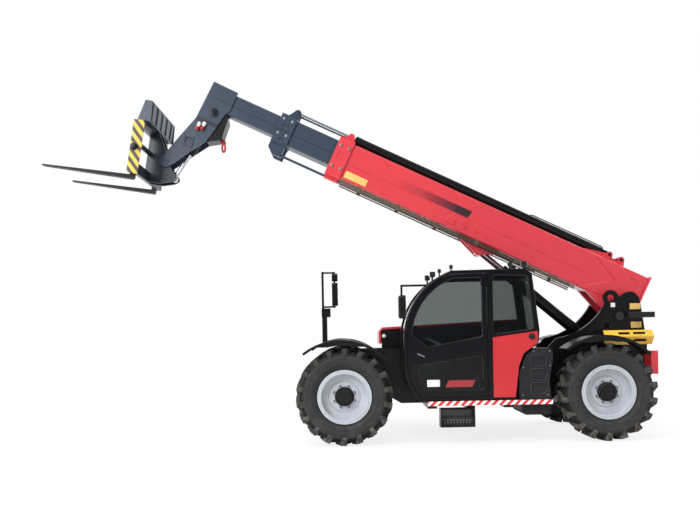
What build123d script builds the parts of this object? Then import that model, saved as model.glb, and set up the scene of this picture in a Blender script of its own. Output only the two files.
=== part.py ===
"""Telescopic handler built as an assembly of separate pieces, in millimetres.

X runs forward, Y to the machine's left, Z up, with the ground at zero.
Pieces are drawn with X measured from the front axle, then moved so that the
origin lies under the middle of the overall box. Boom pieces are drawn along
the boom from its pivot, carriage pieces along the forks from theirs.
"""
from math import asin, atan2, cos, degrees, radians, sin, sqrt

from build123d import (
    Axis, Box, Cylinder, Line, Plane, Polyline, Pos, RegularPolygon, Rot, SortBy,
    ThreePointArc, Vector, export_step, extrude, fillet, loft, make_face, mirror, offset, revolve,
)

# Clearances shared by all pieces
GAP = 0.3
PIN_GAP = 0.1
OVERCUT = 1.0

# Wheels and axles
WHEELBASE = 3450.0
TYRE_RADIUS = 638.5
TYRE_WIDTH = 394.0
TREAD_DEPTH = 28.0
LUGS_PER_SIDE = 18
LUG_REACH = 82.0
TRACK = 2076.0
RIM_SEAT_RADIUS = 317.5
RIM_FLANGE_RADIUS = 355.0
RIM_WIDTH = 330.0
RIM_WALL = 13.0
HUB_RADIUS = 113.0
HUB_BOSS_RADIUS = 150.0
NUT_CIRCLE = 137.5
NUT_COUNT = 8
SPINDLE_RADIUS = 60.0
KINGPIN_INSET = 138.0
KINGPIN_RADIUS = 35.0
YOKE_HALF_HEIGHT = 160.0
YOKE_INNER_HALF = 113.0
YOKE_HALF_WIDTH = 60.0
AXLE_TUBE_RADIUS = 85.0
DIFF_RADIUS = 180.0
FENDER_GAP = 100.0
FENDER_SHEET = 8.0

# Boom sections, measured along the boom from its pivot and square to it
BOOM_ANGLE = 25.5
BOOM_REAR = -240.0
OUTER_LENGTH = 4870.0
OUTER_HEIGHT = 530.0
OUTER_WIDTH = 380.0
OUTER_RISE = 165.0
WALL = 10.0
CORNER = 25.0
COLLAR_LENGTH = 225.0
COLLAR_LIP = 25.0
EXPOSED_MID = 660.0
MID_LENGTH = 4640.0
MID_COLLAR_LENGTH = 240.0
EXPOSED_INNER = 707.0
INNER_LENGTH = 4440.0
PAD_LENGTH = 150.0
EXTEND_RADIUS = 62.0
EXTEND_ROD_RADIUS = 35.0
EXTEND_RISE = 97.0
EXTEND_BASE = 408.0
LIFT_PIN_S = 2151.0
LIFT_PIN_DROP = 95.0
LIFT_RADIUS = 82.0
LIFT_ROD_RADIUS = 48.0
LIFT_BARREL_LENGTH = 1700.0
LIFT_FOOT_HALF = 75.0
LIFT_PIN_RADIUS = 40.0
HOSE_RADIUS = 18.0
PIPE_RADIUS = 10.0

# Boom head, carriage and forks
FORK_TILT = 9.5
TILT_RADIUS = 58.0
TILT_ROD_RADIUS = 32.0
TILT_BARREL_LENGTH = 690.0
TILT_PIN_RADIUS = 30.0
CARRIAGE_PIN_RADIUS = 35.0
TILT_LUG = (-149.0, -210.0)
CARRIAGE_WIDTH = 1400.0
FORK_SPACING = 1200.0
FORK_WIDTH = 130.0
FORK_LENGTH = 1220.0
FORK_THICK = 50.0

# Frame and cab
PLATE = 25.0
BOOM_ROOM = 140.0
EYE_RADIUS = 112.0
EYE_HOLE_RADIUS = 47.0
PIVOT_PIN_RADIUS = 45.0
CAB_SIDE = 1200.0
CAB_SIDE_WALL = 50.0
CAB_WALL = 45.0
CAB_INNER_WALL = 40.0
CAB_ROOM = 20.0
DOOR_GAP = 6.0
GLASS = 8.0
HOOD_WALL = 30.0
CAB_FRONT_GAP = 145.5
CAB_REAR_GAP = 82.5

# Sizes that follow from the ones above
USUAL_WHEELBASE = 3450.0
USUAL_RADIUS = 638.5
LUG_PITCH = 360.0 / LUGS_PER_SIDE
LUG_CORNER = degrees(asin(LUG_REACH / TYRE_RADIUS))
AXLE_Z = TYRE_RADIUS * cos(radians(LUG_CORNER - LUG_PITCH / 4))
WHEEL_Y = TRACK / 2
KINGPIN_Y = WHEEL_Y - KINGPIN_INSET
FRAME_IN = OUTER_WIDTH / 2 + BOOM_ROOM
FRAME_OUT = FRAME_IN + PLATE
CAB_RIGHT = FRAME_OUT + CAB_ROOM
CAB_RIGHT_IN = CAB_RIGHT + CAB_INNER_WALL
CAB_LEFT_IN = CAB_SIDE - CAB_SIDE_WALL
OUTER_FRONT = BOOM_REAR + OUTER_LENGTH
OUTER_TOP = OUTER_RISE + OUTER_HEIGHT
MID_FRONT = OUTER_FRONT + EXPOSED_MID + MID_COLLAR_LENGTH
MID_REAR = MID_FRONT - MID_LENGTH
MID_TOP = OUTER_TOP - 30.0
MID_HEIGHT = OUTER_HEIGHT - 150.0
MID_LOW = MID_TOP - MID_HEIGHT
MID_WIDTH = OUTER_WIDTH - 60.0
HEAD_S = MID_FRONT + EXPOSED_INNER
INNER_FRONT = HEAD_S + 93.0
INNER_REAR = INNER_FRONT - INNER_LENGTH
INNER_TOP = MID_TOP - 20.0
INNER_HEIGHT = MID_HEIGHT - 80.0
INNER_LOW = INNER_TOP - INNER_HEIGHT
INNER_WIDTH = MID_WIDTH - 58.0
HEAD_IN = INNER_WIDTH / 2
HEAD_OUT = HEAD_IN + 20.0
COUPLER_OUT = HEAD_IN - 6.0
COUPLER_IN = COUPLER_OUT - 25.0
EXTEND_AXIS = OUTER_TOP + EXTEND_RISE
EXTEND_GLAND = OUTER_FRONT - 190.0
HOSE_Y = 135.0
HOSE_N = OUTER_RISE - 47.0
LIFT_PIN = (LIFT_PIN_S, OUTER_RISE - LIFT_PIN_DROP)
CARRIAGE_PIVOT = (HEAD_S + 567.0, INNER_TOP - 1288.0)
TILT_BASE = (HEAD_S + 200.0, INNER_TOP - 357.0)


def high(z):
    """Height on the machine, which rides up and down with the tyre size."""
    return z + TYRE_RADIUS - USUAL_RADIUS


def aft(x):
    """Place measured from the rear axle."""
    return x - WHEELBASE


def bay(x):
    """Place between the axles, drawn for the usual machine and kept clear of both tyres."""
    front = -(TYRE_RADIUS + CAB_FRONT_GAP)
    rear = -WHEELBASE + TYRE_RADIUS + CAB_REAR_GAP
    usual_front = -(USUAL_RADIUS + CAB_FRONT_GAP)
    usual_rear = -USUAL_WHEELBASE + USUAL_RADIUS + CAB_REAR_GAP
    return front + (x - usual_front) * (rear - front) / (usual_rear - usual_front)


PIVOT = (aft(-434.0), high(1640.0))
LIFT_BASE = (aft(-150.0), high(1250.0))
EYE_CENTRE = (aft(-320.0), high(1895.0))
PAD_TOP = AXLE_Z + 121.5
FLOOR_Z = high(560.0)
DOOR_REAR = bay(-1880.0)
DOOR_AXIS = (DOOR_REAR - 15.0, CAB_SIDE + 18.0)
HOOD_AXIS_Y = -FRAME_OUT - 7.0


def block(x0, x1, y0, y1, z0, z1):
    """Box between two corners."""
    size = Box(x1 - x0, y1 - y0, z1 - z0)
    return Pos((x0 + x1) / 2, (y0 + y1) / 2, (z0 + z1) / 2) * size


def plate(points, y0, y1):
    """Flat outline in X and Z, thick from y0 to y1."""
    wire = Polyline(*[(x, y0, z) for x, z in points], close=True)
    return extrude(make_face(wire), amount=y1 - y0, dir=(0, 1, 0))


def rounded(points, y0, y1, radius):
    """Plate with all its corners rounded."""
    solid = plate(points, y0, y1)
    return fillet(solid.edges().filter_by(Axis.Y), radius)


def both(piece):
    """A piece and its mirror image on the other side."""
    return piece + mirror(piece, about=Plane.XZ)


def pair(points, y0, y1):
    """The same plate on the left and on the right."""
    return both(plate(points, y0, y1))


def rod_x(y, z, radius, x0, x1):
    """Cylinder along X."""
    return Pos((x0 + x1) / 2, y, z) * Rot(0, 90, 0) * Cylinder(radius, x1 - x0)


def rod_y(x, z, radius, y0, y1):
    """Cylinder along Y."""
    return Pos(x, (y0 + y1) / 2, z) * Rot(90, 0, 0) * Cylinder(radius, y1 - y0)


def rod_z(x, y, radius, z0, z1):
    """Cylinder along Z."""
    return Pos(x, y, (z0 + z1) / 2) * Cylinder(radius, z1 - z0)


def total(pieces):
    """All pieces of a list joined."""
    joined = pieces[0]
    for piece in pieces[1:]:
        joined = joined + piece
    return joined


def circle_through(a, b, c):
    """Centre and radius of the circle through three points."""
    d = 2 * (a[0] * (b[1] - c[1]) + b[0] * (c[1] - a[1]) + c[0] * (a[1] - b[1]))
    aa = a[0] ** 2 + a[1] ** 2
    bb = b[0] ** 2 + b[1] ** 2
    cc = c[0] ** 2 + c[1] ** 2
    x = (aa * (b[1] - c[1]) + bb * (c[1] - a[1]) + cc * (a[1] - b[1])) / d
    z = (aa * (c[0] - b[0]) + bb * (a[0] - c[0]) + cc * (b[0] - a[0])) / d
    return x, z, ((a[0] - x) ** 2 + (a[1] - z) ** 2) ** 0.5


def arched(points, thick, y0, y1):
    """Bent sheet following an arc through three points, thickened outward."""
    x, z, radius = circle_through(*points)
    grow = (radius + thick) / radius
    outer = [(x + (px - x) * grow, z + (pz - z) * grow) for px, pz in points]
    low = [Vector(px, y0, pz) for px, pz in points]
    top = [Vector(px, y0, pz) for px, pz in outer]
    edges = [
        ThreePointArc(*low), Line(low[2], top[2]),
        ThreePointArc(*reversed(top)), Line(top[0], low[0]),
    ]
    return extrude(make_face(edges), amount=y1 - y0, dir=(0, 1, 0))


def turned(profile):
    """Solid of revolution about Y from points of radius and y."""
    wire = Polyline(*[(r, y, 0) for r, y in profile], close=True)
    return revolve(make_face(wire), axis=Axis.Y)


def tube(width, top, height, wall, s0, s1, corner=0.0):
    """Square tube along the boom, open at both ends, with rounded long corners."""
    outer = block(s0, s1, -width / 2, width / 2, top - height, top)
    half = width / 2 - wall
    inner = block(s0 - OVERCUT, s1 + OVERCUT, -half, half, top - height + wall, top - wall)
    if corner > 0:
        outer = fillet(outer.edges().filter_by(Axis.X), corner)
        inner = fillet(inner.edges().filter_by(Axis.X), corner - wall)
    return outer - inner


def on_boom(piece):
    """Lift a piece drawn along the boom to the boom's place."""
    return Pos(PIVOT[0], 0, PIVOT[1]) * Rot(0, -BOOM_ANGLE, 0) * piece


def boom_point(s, n):
    """Machine X and Z of a point measured along the boom."""
    a = radians(BOOM_ANGLE)
    return PIVOT[0] + s * cos(a) - n * sin(a), PIVOT[1] + s * sin(a) + n * cos(a)


def on_carriage(piece):
    """Lift a piece drawn along the forks to the carriage's place."""
    x, z = boom_point(*CARRIAGE_PIVOT)
    return Pos(x, 0, z) * Rot(0, -FORK_TILT, 0) * piece


def carriage_point(x, z):
    """Machine X and Z of a point measured from the carriage pivot."""
    a = radians(FORK_TILT)
    cx, cz = boom_point(*CARRIAGE_PIVOT)
    return cx + x * cos(a) - z * sin(a), cz + x * sin(a) + z * cos(a)


def along(start, end, piece):
    """Place a piece drawn along X from the origin on the line between two points."""
    angle = degrees(atan2(end[1] - start[1], end[0] - start[0]))
    return Pos(start[0], 0, start[1]) * Rot(0, -angle, 0) * piece


def distance(start, end):
    """Length between two points."""
    return ((end[0] - start[0]) ** 2 + (end[1] - start[1]) ** 2) ** 0.5


parts = {}

# Tyre: a many-sided casing with slanted lugs on each half, one half set back by half a pitch
SIDES = 2 * LUGS_PER_SIDE
half_tyre = TYRE_WIDTH / 2
half_rim = RIM_WIDTH / 2
bead_y = half_rim - 22
base_radius = TYRE_RADIUS - TREAD_DEPTH
wall_radius = RIM_FLANGE_RADIUS + 85
half_casing = [(0, base_radius), (half_tyre - 32, base_radius - 14), (half_tyre, base_radius - 80),
               (half_tyre - 4, wall_radius), (bead_y, RIM_FLANGE_RADIUS + 14)]
casing = [(-y, radius) for y, radius in reversed(half_casing[1:])] + half_casing


def casing_slice(y, radius):
    """Many-sided outline of the casing at one y."""
    return Plane((0, y, 0), x_dir=(1, 0, 0), z_dir=(0, 1, 0)) * RegularPolygon(radius, SIDES)


tyre = loft([casing_slice(y, radius) for y, radius in casing], ruled=True)
hole_radius = (RIM_SEAT_RADIUS + GAP) / cos(radians(180 / SIDES))
tyre = tyre - extrude(casing_slice(-half_tyre, hole_radius), amount=TYRE_WIDTH, dir=(0, 1, 0))
lug_top = sqrt(TYRE_RADIUS ** 2 - LUG_REACH ** 2)
lug_foot = base_radius - 75
lug_out = half_tyre - 5
lug_wire = Polyline((-LUG_REACH, 8, lug_foot), (-26, 8, lug_foot), (LUG_REACH, lug_out, lug_foot),
                    (8, lug_out, lug_foot), close=True)
lug = extrude(make_face(lug_wire), amount=lug_top - lug_foot, dir=(0, 0, 1))
lugs = []
for turn in range(LUGS_PER_SIDE):
    start = (turn - 0.25) * LUG_PITCH
    lugs.append(Rot(0, start, 0) * lug)
    lugs.append(Rot(0, start + LUG_PITCH / 2, 0) * mirror(lug, about=Plane.XZ))
tyre = tyre.fuse(*lugs)

# Rim with hub, disc and nuts
rim_inside = RIM_SEAT_RADIUS - RIM_WALL
hub_face = 140.0
disc_face = 42.0
rim_profile = [
    (0, hub_face), (HUB_RADIUS - 15, hub_face), (HUB_RADIUS, hub_face - 15), (HUB_RADIUS, disc_face + 20),
    (185, disc_face + 20), (215, disc_face), (rim_inside, disc_face), (rim_inside, half_rim),
    (RIM_FLANGE_RADIUS, half_rim), (RIM_FLANGE_RADIUS, half_rim - 18), (RIM_SEAT_RADIUS, half_rim - 20),
    (RIM_SEAT_RADIUS, -half_rim + 20), (RIM_FLANGE_RADIUS, -half_rim + 18), (RIM_FLANGE_RADIUS, -half_rim),
    (rim_inside, -half_rim), (rim_inside, disc_face - 18), (HUB_BOSS_RADIUS, disc_face - 18),
    (HUB_BOSS_RADIUS, -55), (SPINDLE_RADIUS + PIN_GAP, -55), (SPINDLE_RADIUS + PIN_GAP, hub_face - 30),
    (0, hub_face - 30),
]
rim = turned(rim_profile)
for turn in range(NUT_COUNT):
    angle = radians(360 / NUT_COUNT * (turn + 0.5))
    nut = extrude(RegularPolygon(18, 6), amount=28)
    nut = Rot(-90, 0, 0) * nut
    rim = rim + Pos(NUT_CIRCLE * cos(angle), disc_face + 18, NUT_CIRCLE * sin(angle)) * nut

# Knuckle, drawn on the left wheel with the wheel's centre at the origin
knuckle = Pos(0, -KINGPIN_INSET, 0) * Cylinder(75, 2 * YOKE_INNER_HALF - 6)
knuckle = knuckle + rod_y(0, 0, 95, -KINGPIN_INSET, -60)
knuckle = knuckle + rod_y(0, 0, SPINDLE_RADIUS, -70, hub_face - 35)
kingpin_end = YOKE_HALF_HEIGHT + 4
knuckle = knuckle + rod_z(0, -KINGPIN_INSET, KINGPIN_RADIUS, YOKE_INNER_HALF - 10, kingpin_end)
knuckle = knuckle + rod_z(0, -KINGPIN_INSET, KINGPIN_RADIUS, -kingpin_end, -YOKE_INNER_HALF + 10)
corners = {
    "front_left": (0.0, 1), "front_right": (0.0, -1),
    "rear_left": (-WHEELBASE, 1), "rear_right": (-WHEELBASE, -1),
}
for name, (x, side) in corners.items():
    for label, piece in (("tyre", tyre), ("rim", rim), ("knuckle", knuckle)):
        placed = Pos(0, WHEEL_Y, AXLE_Z) * piece
        if side < 0:
            placed = mirror(placed, about=Plane.XZ)
        parts[label + "_" + name] = Pos(x, 0, 0) * placed

# Axles with yokes for the knuckles
yoke_in = KINGPIN_Y - 190
axle = rod_y(0, 0, AXLE_TUBE_RADIUS, -yoke_in - 50, yoke_in + 50) + rod_y(0, 0, DIFF_RADIUS, -125, 125)
axle = axle + rod_x(0, 0, 75, -260, 260)
web = block(-YOKE_HALF_WIDTH, YOKE_HALF_WIDTH, yoke_in, yoke_in + 55, -YOKE_HALF_HEIGHT, YOKE_HALF_HEIGHT)
arm = block(-YOKE_HALF_WIDTH, YOKE_HALF_WIDTH, yoke_in, KINGPIN_Y + 45, YOKE_INNER_HALF, YOKE_HALF_HEIGHT)
arm = arm - rod_z(0, KINGPIN_Y, KINGPIN_RADIUS + PIN_GAP, 0, 2 * YOKE_HALF_HEIGHT)
yoke = web + arm + mirror(arm, about=Plane.XY)
pad = block(-130, 130, FRAME_IN - 80, FRAME_OUT, 0, PAD_TOP - AXLE_Z)
steer_body = rod_y(-150, 20, 38, -300, 300)
steer_lug = block(-160, -60, -300, 300, -25, 15)
axle = axle + both(yoke) + both(pad) + steer_lug + steer_body
front_axle = Pos(0, 0, AXLE_Z) * axle
rear_axle = Pos(-WHEELBASE, 0, AXLE_Z) * Rot(0, 0, 180) * axle
parts["axles"] = front_axle + rear_axle

# Frame side plates with bosses for the boom and the lift cylinder
nose = 520.0
belly_z = high(470)
frame_points = [
    (aft(460), high(1345)), (aft(620), high(1180)), (bay(-2620), high(1010)), (bay(-1000), high(1010)),
    (bay(-790), high(1240)), (-250, high(1240)), (300, high(1120)), (nose, high(900)), (nose, high(520)),
    (330, high(520)), (300, PAD_TOP), (-300, PAD_TOP), (bay(-790), belly_z), (aft(550), belly_z),
    (aft(250), PAD_TOP), (aft(-250), PAD_TOP), (aft(-450), high(640)), (aft(-700), high(640)),
    (aft(-785), high(830)), (aft(-820), high(1225)), (aft(-740), high(1800)), (aft(-715), high(1900)),
    (aft(-660), high(1965)), (aft(-590), high(1985)), (aft(-520), high(1965)), (aft(-450), high(1915)),
    (aft(-320), high(1925)), (aft(-240), high(1840)),
]
swoop = [frame_points[-1], (aft(-30), high(1570)), frame_points[0]]
swoop_edge = ThreePointArc(*[Vector(x, 0, z) for x, z in swoop])
side_face = make_face([Polyline(*[Vector(x, 0, z) for x, z in frame_points]), swoop_edge])
side = extrude(side_face, amount=PLATE, dir=(0, 1, 0)) + rod_y(*EYE_CENTRE, EYE_RADIUS, 0, PLATE)
side = side - rod_y(*EYE_CENTRE, EYE_HOLE_RADIUS, -OVERCUT, PLATE + OVERCUT)
side = side - rod_y(aft(-264), high(1514), 45, -OVERCUT, PLATE + OVERCUT)
side = Pos(0, FRAME_IN, 0) * side
side = side + arched(list(reversed(swoop)), 12, FRAME_OUT - 5, FRAME_OUT + 35)
boss_out = FRAME_OUT + 15
boss_in = FRAME_IN - 60
side = side + rod_y(*PIVOT, 85, boss_in, boss_out)
side = side - rod_y(*PIVOT, PIVOT_PIN_RADIUS, boss_in - OVERCUT, boss_out + OVERCUT)
side = side + rod_y(*LIFT_BASE, 60, LIFT_RADIUS + 10, FRAME_OUT + 10)
parts["side_plates"] = both(side)

# Pin that carries the boom, with a head on each end
pivot_pin = rod_y(*PIVOT, PIVOT_PIN_RADIUS, -boss_out, boss_out)
parts["pivot_pin"] = pivot_pin + both(rod_y(*PIVOT, PIVOT_PIN_RADIUS + 15, boss_out, boss_out + 12))

# Cross members between the side plates, and outriggers that carry the cab and the engine tub
front_box = block(nose - 270, nose, -FRAME_IN, FRAME_IN, high(520), high(560))
front_box = front_box + block(nose - 50, nose, -FRAME_IN, FRAME_IN, high(520), high(900))
belly_plate = block(bay(-2800), bay(-830), -FRAME_IN, FRAME_IN, belly_z, belly_z + 20)
rear_wall = block(aft(450), aft(490), -FRAME_IN, FRAME_IN, high(760), high(1100))
front_wall = block(bay(-790), bay(-790) + 40, -FRAME_IN, FRAME_IN, high(540), high(1000))
outrigger_end = CAB_LEFT_IN - 10
beams = [front_box, belly_plate, rear_wall, front_wall]
for beam_x in (-1150, -1650, -2150):
    beam = block(bay(beam_x) - 60, bay(beam_x) + 60, FRAME_OUT, outrigger_end, FLOOR_Z - 100, FLOOR_Z)
    beams.append(both(beam))
parts["cross_members"] = total(beams)

# Rear counterweight between and behind the side plates
weight_points = [(aft(-510), high(640)), (aft(-510), high(1200)), (aft(-812), high(1200)),
                 (aft(-785), high(830)), (aft(-700), high(640))]
weight = plate(weight_points, -FRAME_IN, FRAME_IN)
weight = weight + block(aft(-870), aft(-822), -620, 620, high(830), high(1150))
weight = weight + both(block(aft(-830), aft(-775), FRAME_OUT, 620, high(830), high(1150)))
weight = weight + block(aft(-830), aft(-790), -FRAME_IN, FRAME_IN, high(840), high(1140))
parts["counterweight"] = weight

# Fenders on brackets above the tyres, with a lip along the outer edge
fender_radius = TYRE_RADIUS + FENDER_GAP


def fender_arc(radius, front_extra):
    """Three points of a fender's arc about an axle."""
    rays = ((46.6, radius + front_extra), (92.6, radius), (139.0, radius))
    return [(r * cos(radians(a)), AXLE_Z + r * sin(radians(a))) for a, r in rays]


def fender(front_extra, y0, y1):
    """Bent sheet with an outer lip and a bracket that reaches in to the frame."""
    sheet = arched(fender_arc(fender_radius, front_extra), FENDER_SHEET, y0, y1)
    lip = arched(fender_arc(fender_radius - 26, front_extra), 30, y1 - 10, y1)
    skirt = arched(fender_arc(fender_radius - 70, front_extra), 72, y1 - 10, y1)
    above_tyre = AXLE_Z + TYRE_RADIUS + 14
    lip = lip + (skirt & block(-900, 900, y1 - 50, y1 + 50, above_tyre, above_tyre + 500))
    top = AXLE_Z + fender_radius + FENDER_SHEET / 2
    arm_piece = block(-90, 40, FRAME_OUT, (y0 + y1) / 2, top - 32, top)
    return sheet + lip + arm_piece


front_post = block(-90, 40, FRAME_IN, FRAME_OUT, high(1200), AXLE_Z + fender_radius + FENDER_SHEET / 2)
front_fender = fender(46, 800, WHEEL_Y + half_tyre - 7) + (front_post - side)
rear_fender = Pos(-WHEELBASE, 0, 0) * fender(50, 830, WHEEL_Y + half_tyre - 20)
rear_fender = rear_fender - side
parts["fenders"] = both(front_fender) + both(rear_fender)

# Boom outer section with its collar, lugs and pivot gussets
outer = tube(OUTER_WIDTH, OUTER_TOP, OUTER_HEIGHT, WALL, BOOM_REAR, OUTER_FRONT, CORNER)
collar_rear = OUTER_FRONT - COLLAR_LENGTH
outer = outer + tube(OUTER_WIDTH + 2 * COLLAR_LIP, OUTER_TOP + COLLAR_LIP, OUTER_HEIGHT + 2 * COLLAR_LIP,
                     COLLAR_LIP + WALL / 2, collar_rear, OUTER_FRONT)
outer = outer + tube(OUTER_WIDTH + 40, OUTER_TOP + 20, OUTER_HEIGHT + 40, 20 + WALL / 2,
                     BOOM_REAR, BOOM_REAR + 20)
boom_half = OUTER_WIDTH / 2
gusset_top = OUTER_RISE + CORNER
gusset = [(-150, gusset_top), (-150, OUTER_RISE), (-95, -30), (-40, -95), (50, -95), (130, -20),
          (560, OUTER_RISE), (560, gusset_top)]
bore = block(-200, 600, 0, boom_half - WALL / 2, OUTER_RISE + WALL / 2, OUTER_TOP)
outer = outer + both(plate(gusset, boom_half - 40, boom_half) - bore)
outer = outer + rod_y(0, 0, 95, -boom_half, boom_half)
outer = outer - rod_y(0, 0, PIVOT_PIN_RADIUS + PIN_GAP, -FRAME_OUT, FRAME_OUT)
pin_s, pin_n = LIFT_PIN
lug_low = pin_n - 85
lug_points = [(pin_s + 450, OUTER_RISE), (pin_s + 65, lug_low + 25), (pin_s, lug_low),
              (pin_s - 65, lug_low + 35), (pin_s - 300, OUTER_RISE)]
outer = outer + pair(lug_points, 75, 100) + both(rod_y(pin_s, pin_n, 62, 69, 110))
outer = outer + rod_y(pin_s, pin_n, LIFT_PIN_RADIUS, -110, 110)
doubler = [(pin_s + 640, OUTER_RISE + 75), (pin_s + 590, OUTER_RISE + 165), (pin_s - 100, OUTER_RISE + 165),
           (pin_s - 310, OUTER_RISE + CORNER), (pin_s + 350, OUTER_RISE + CORNER)]
outer = outer + pair(doubler, boom_half, boom_half + 8)
plate_low = OUTER_RISE + CORNER
plate_top = OUTER_TOP - CORNER
heel_plate = [(BOOM_REAR + 40, plate_low), (548, plate_low), (548, plate_low + 50), (203, plate_low + 271),
              (590, plate_top), (BOOM_REAR + 40, plate_top)]
outer = outer + pair(heel_plate, boom_half, boom_half + 8)
ear_top = EXTEND_AXIS + 15
for ear_s in (EXTEND_BASE - 186, EXTEND_BASE):
    ear = [(ear_s - 80, OUTER_TOP), (ear_s - 44, ear_top), (ear_s + 44, ear_top), (ear_s + 80, OUTER_TOP)]
    outer = outer + pair(ear, 45, 65) + both(rod_y(ear_s, EXTEND_AXIS, 48, 45, 65))
    outer = outer + rod_y(ear_s, EXTEND_AXIS, 25, -75, 75)
collar_ear_top = EXTEND_AXIS + 20
collar_ear_s = collar_rear + 95
collar_ear = [(collar_rear + 5, OUTER_TOP + 15), (collar_ear_s - 42, collar_ear_top),
              (collar_ear_s + 42, collar_ear_top), (collar_rear + 200, OUTER_TOP + 15)]
outer = outer + pair(collar_ear, EXTEND_RADIUS + 4, EXTEND_RADIUS + 28)
outer = outer + both(rod_y(collar_ear_s, EXTEND_AXIS + 8, 46, EXTEND_RADIUS + 4, EXTEND_RADIUS + 28))
collar_face = boom_half + COLLAR_LIP
pocket = block(collar_rear + 75, collar_rear + 165, collar_face - 8, collar_face + OVERCUT, 415, 515)
outer = outer - both(pocket)
guide = block(collar_rear + 15, OUTER_FRONT - 10, HOSE_Y - 40, HOSE_Y + 40,
              HOSE_N - 30, OUTER_RISE - COLLAR_LIP + 5)
outer = outer + guide - rod_x(HOSE_Y, HOSE_N, HOSE_RADIUS + GAP, collar_rear - 100, OUTER_FRONT + 100)
pad_s = OUTER_FRONT - PAD_LENGTH
outer_pads = block(pad_s, OUTER_FRONT, -80, 80, MID_TOP + GAP, OUTER_TOP - WALL)
outer_pads = outer_pads + block(pad_s, OUTER_FRONT, -80, 80, OUTER_RISE + WALL, MID_LOW - GAP)
side_pad = block(pad_s, OUTER_FRONT, MID_WIDTH / 2 + GAP, boom_half - WALL, MID_LOW + 120, MID_TOP - 120)
parts["outer_boom"] = on_boom(outer + outer_pads + both(side_pad))

# Extension cylinder on top of the boom
barrel = rod_x(0, EXTEND_AXIS, EXTEND_RADIUS, EXTEND_BASE + 120, EXTEND_GLAND)
barrel = barrel + rod_x(0, EXTEND_AXIS, EXTEND_RADIUS + 3, EXTEND_GLAND - 90, EXTEND_GLAND - 10)
barrel = barrel - rod_x(0, EXTEND_AXIS, EXTEND_RADIUS - 14, EXTEND_BASE + 160, EXTEND_GLAND - 60)
barrel = barrel - rod_x(0, EXTEND_AXIS, EXTEND_ROD_RADIUS + GAP, EXTEND_GLAND - 100, EXTEND_GLAND + OVERCUT)
barrel = barrel + block(EXTEND_BASE, EXTEND_BASE + 130, -38, 38, EXTEND_AXIS - 40, EXTEND_AXIS + 40)
barrel = barrel + rod_y(EXTEND_BASE, EXTEND_AXIS, 45, -38, 38)
barrel = barrel - rod_y(EXTEND_BASE, EXTEND_AXIS, 25 + PIN_GAP, -60, 60)
parts["extend_barrel"] = on_boom(barrel)

# Hydraulic pipes along both lower edges of the boom, in clamps that fit its rounded corners
PIPE_Y = boom_half - 18
CLAMPS = 6
pipe_start = 700.0
pipe_end = collar_rear - 5
pipes = rod_x(PIPE_Y, OUTER_RISE - 19, PIPE_RADIUS, pipe_start, pipe_end)
pipes = pipes + rod_x(PIPE_Y, OUTER_RISE - 47, PIPE_RADIUS, pipe_start, pipe_end)
section = block(pipe_start, pipe_end, -boom_half, boom_half, OUTER_RISE, OUTER_TOP)
section = fillet(section.edges().filter_by(Axis.X), CORNER)
for clamp in range(CLAMPS):
    clamp_s = pipe_start + (clamp + 0.5) * (pipe_end - pipe_start) / CLAMPS
    strip = block(clamp_s - 25, clamp_s + 25, PIPE_Y - 12, PIPE_Y + 12, OUTER_RISE - 60, OUTER_RISE + 15)
    pipes = pipes + (strip - section)
parts["boom_pipes"] = on_boom(both(pipes))

# Boom middle section with its collar, rod lug and the hose tube that travels with it
mid_collar_rear = MID_FRONT - MID_COLLAR_LENGTH
mid = tube(MID_WIDTH, MID_TOP, MID_HEIGHT, WALL, MID_REAR, MID_FRONT, CORNER)
mid = mid + tube(MID_WIDTH + 50, MID_TOP + 25, MID_HEIGHT + 50, 25 + WALL / 2, mid_collar_rear, MID_FRONT)
rear_pad_end = MID_REAR + PAD_LENGTH
mid = mid + block(MID_REAR, rear_pad_end, -80, 80, MID_TOP - WALL / 2, OUTER_TOP - WALL - GAP)
mid = mid + block(MID_REAR, rear_pad_end, -80, 80, OUTER_RISE + WALL + GAP, MID_LOW + WALL / 2)
mid = mid + both(block(MID_REAR, rear_pad_end, MID_WIDTH / 2 - WALL / 2, boom_half - WALL - GAP,
                       MID_LOW + 120, MID_TOP - 120))
low_plate = [(mid_collar_rear + 10, MID_LOW - 20), (mid_collar_rear + 10, HOSE_N - 30),
             (mid_collar_rear + 150, HOSE_N - 30), (MID_FRONT, HOSE_N + 52), (MID_FRONT, MID_LOW - 20)]
mid = mid + plate(low_plate, HOSE_Y - 30, HOSE_Y + 30) + plate(low_plate, -HOSE_Y - 30, -HOSE_Y + 30)
rod_lug_top = EXTEND_AXIS + 10
rod_pin_s = mid_collar_rear + 60
rod_lug = [(mid_collar_rear, MID_TOP + 15), (rod_pin_s - 50, rod_lug_top),
           (rod_pin_s + 50, rod_lug_top), (mid_collar_rear + 190, MID_TOP + 15)]
mid = mid + pair(rod_lug, 40, 62) + both(rod_y(rod_pin_s, EXTEND_AXIS, 52, 40, 62))
mid = mid + rod_y(rod_pin_s, EXTEND_AXIS, 25, -70, 70)
mid_face = MID_WIDTH / 2 + 25
mid_pocket = block(mid_collar_rear + 75, mid_collar_rear + 165, mid_face - 8, mid_face + OVERCUT, 460, 550)
mid_hole = rod_y(mid_collar_rear + 120, MID_LOW + 45, 24, mid_face - 12, mid_face + OVERCUT)
mid = mid - both(mid_pocket) - both(mid_hole)
mid_pad_s = MID_FRONT - PAD_LENGTH
mid = mid + block(mid_pad_s, MID_FRONT, -60, 60, INNER_TOP + GAP, MID_TOP - WALL / 2)
mid = mid + block(mid_pad_s, MID_FRONT, -60, 60, MID_LOW + WALL / 2, INNER_LOW - GAP)
mid = mid + both(block(mid_pad_s, MID_FRONT, HEAD_IN + GAP, MID_WIDTH / 2 - WALL / 2,
                       INNER_LOW + 90, INNER_TOP - 90))
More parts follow.
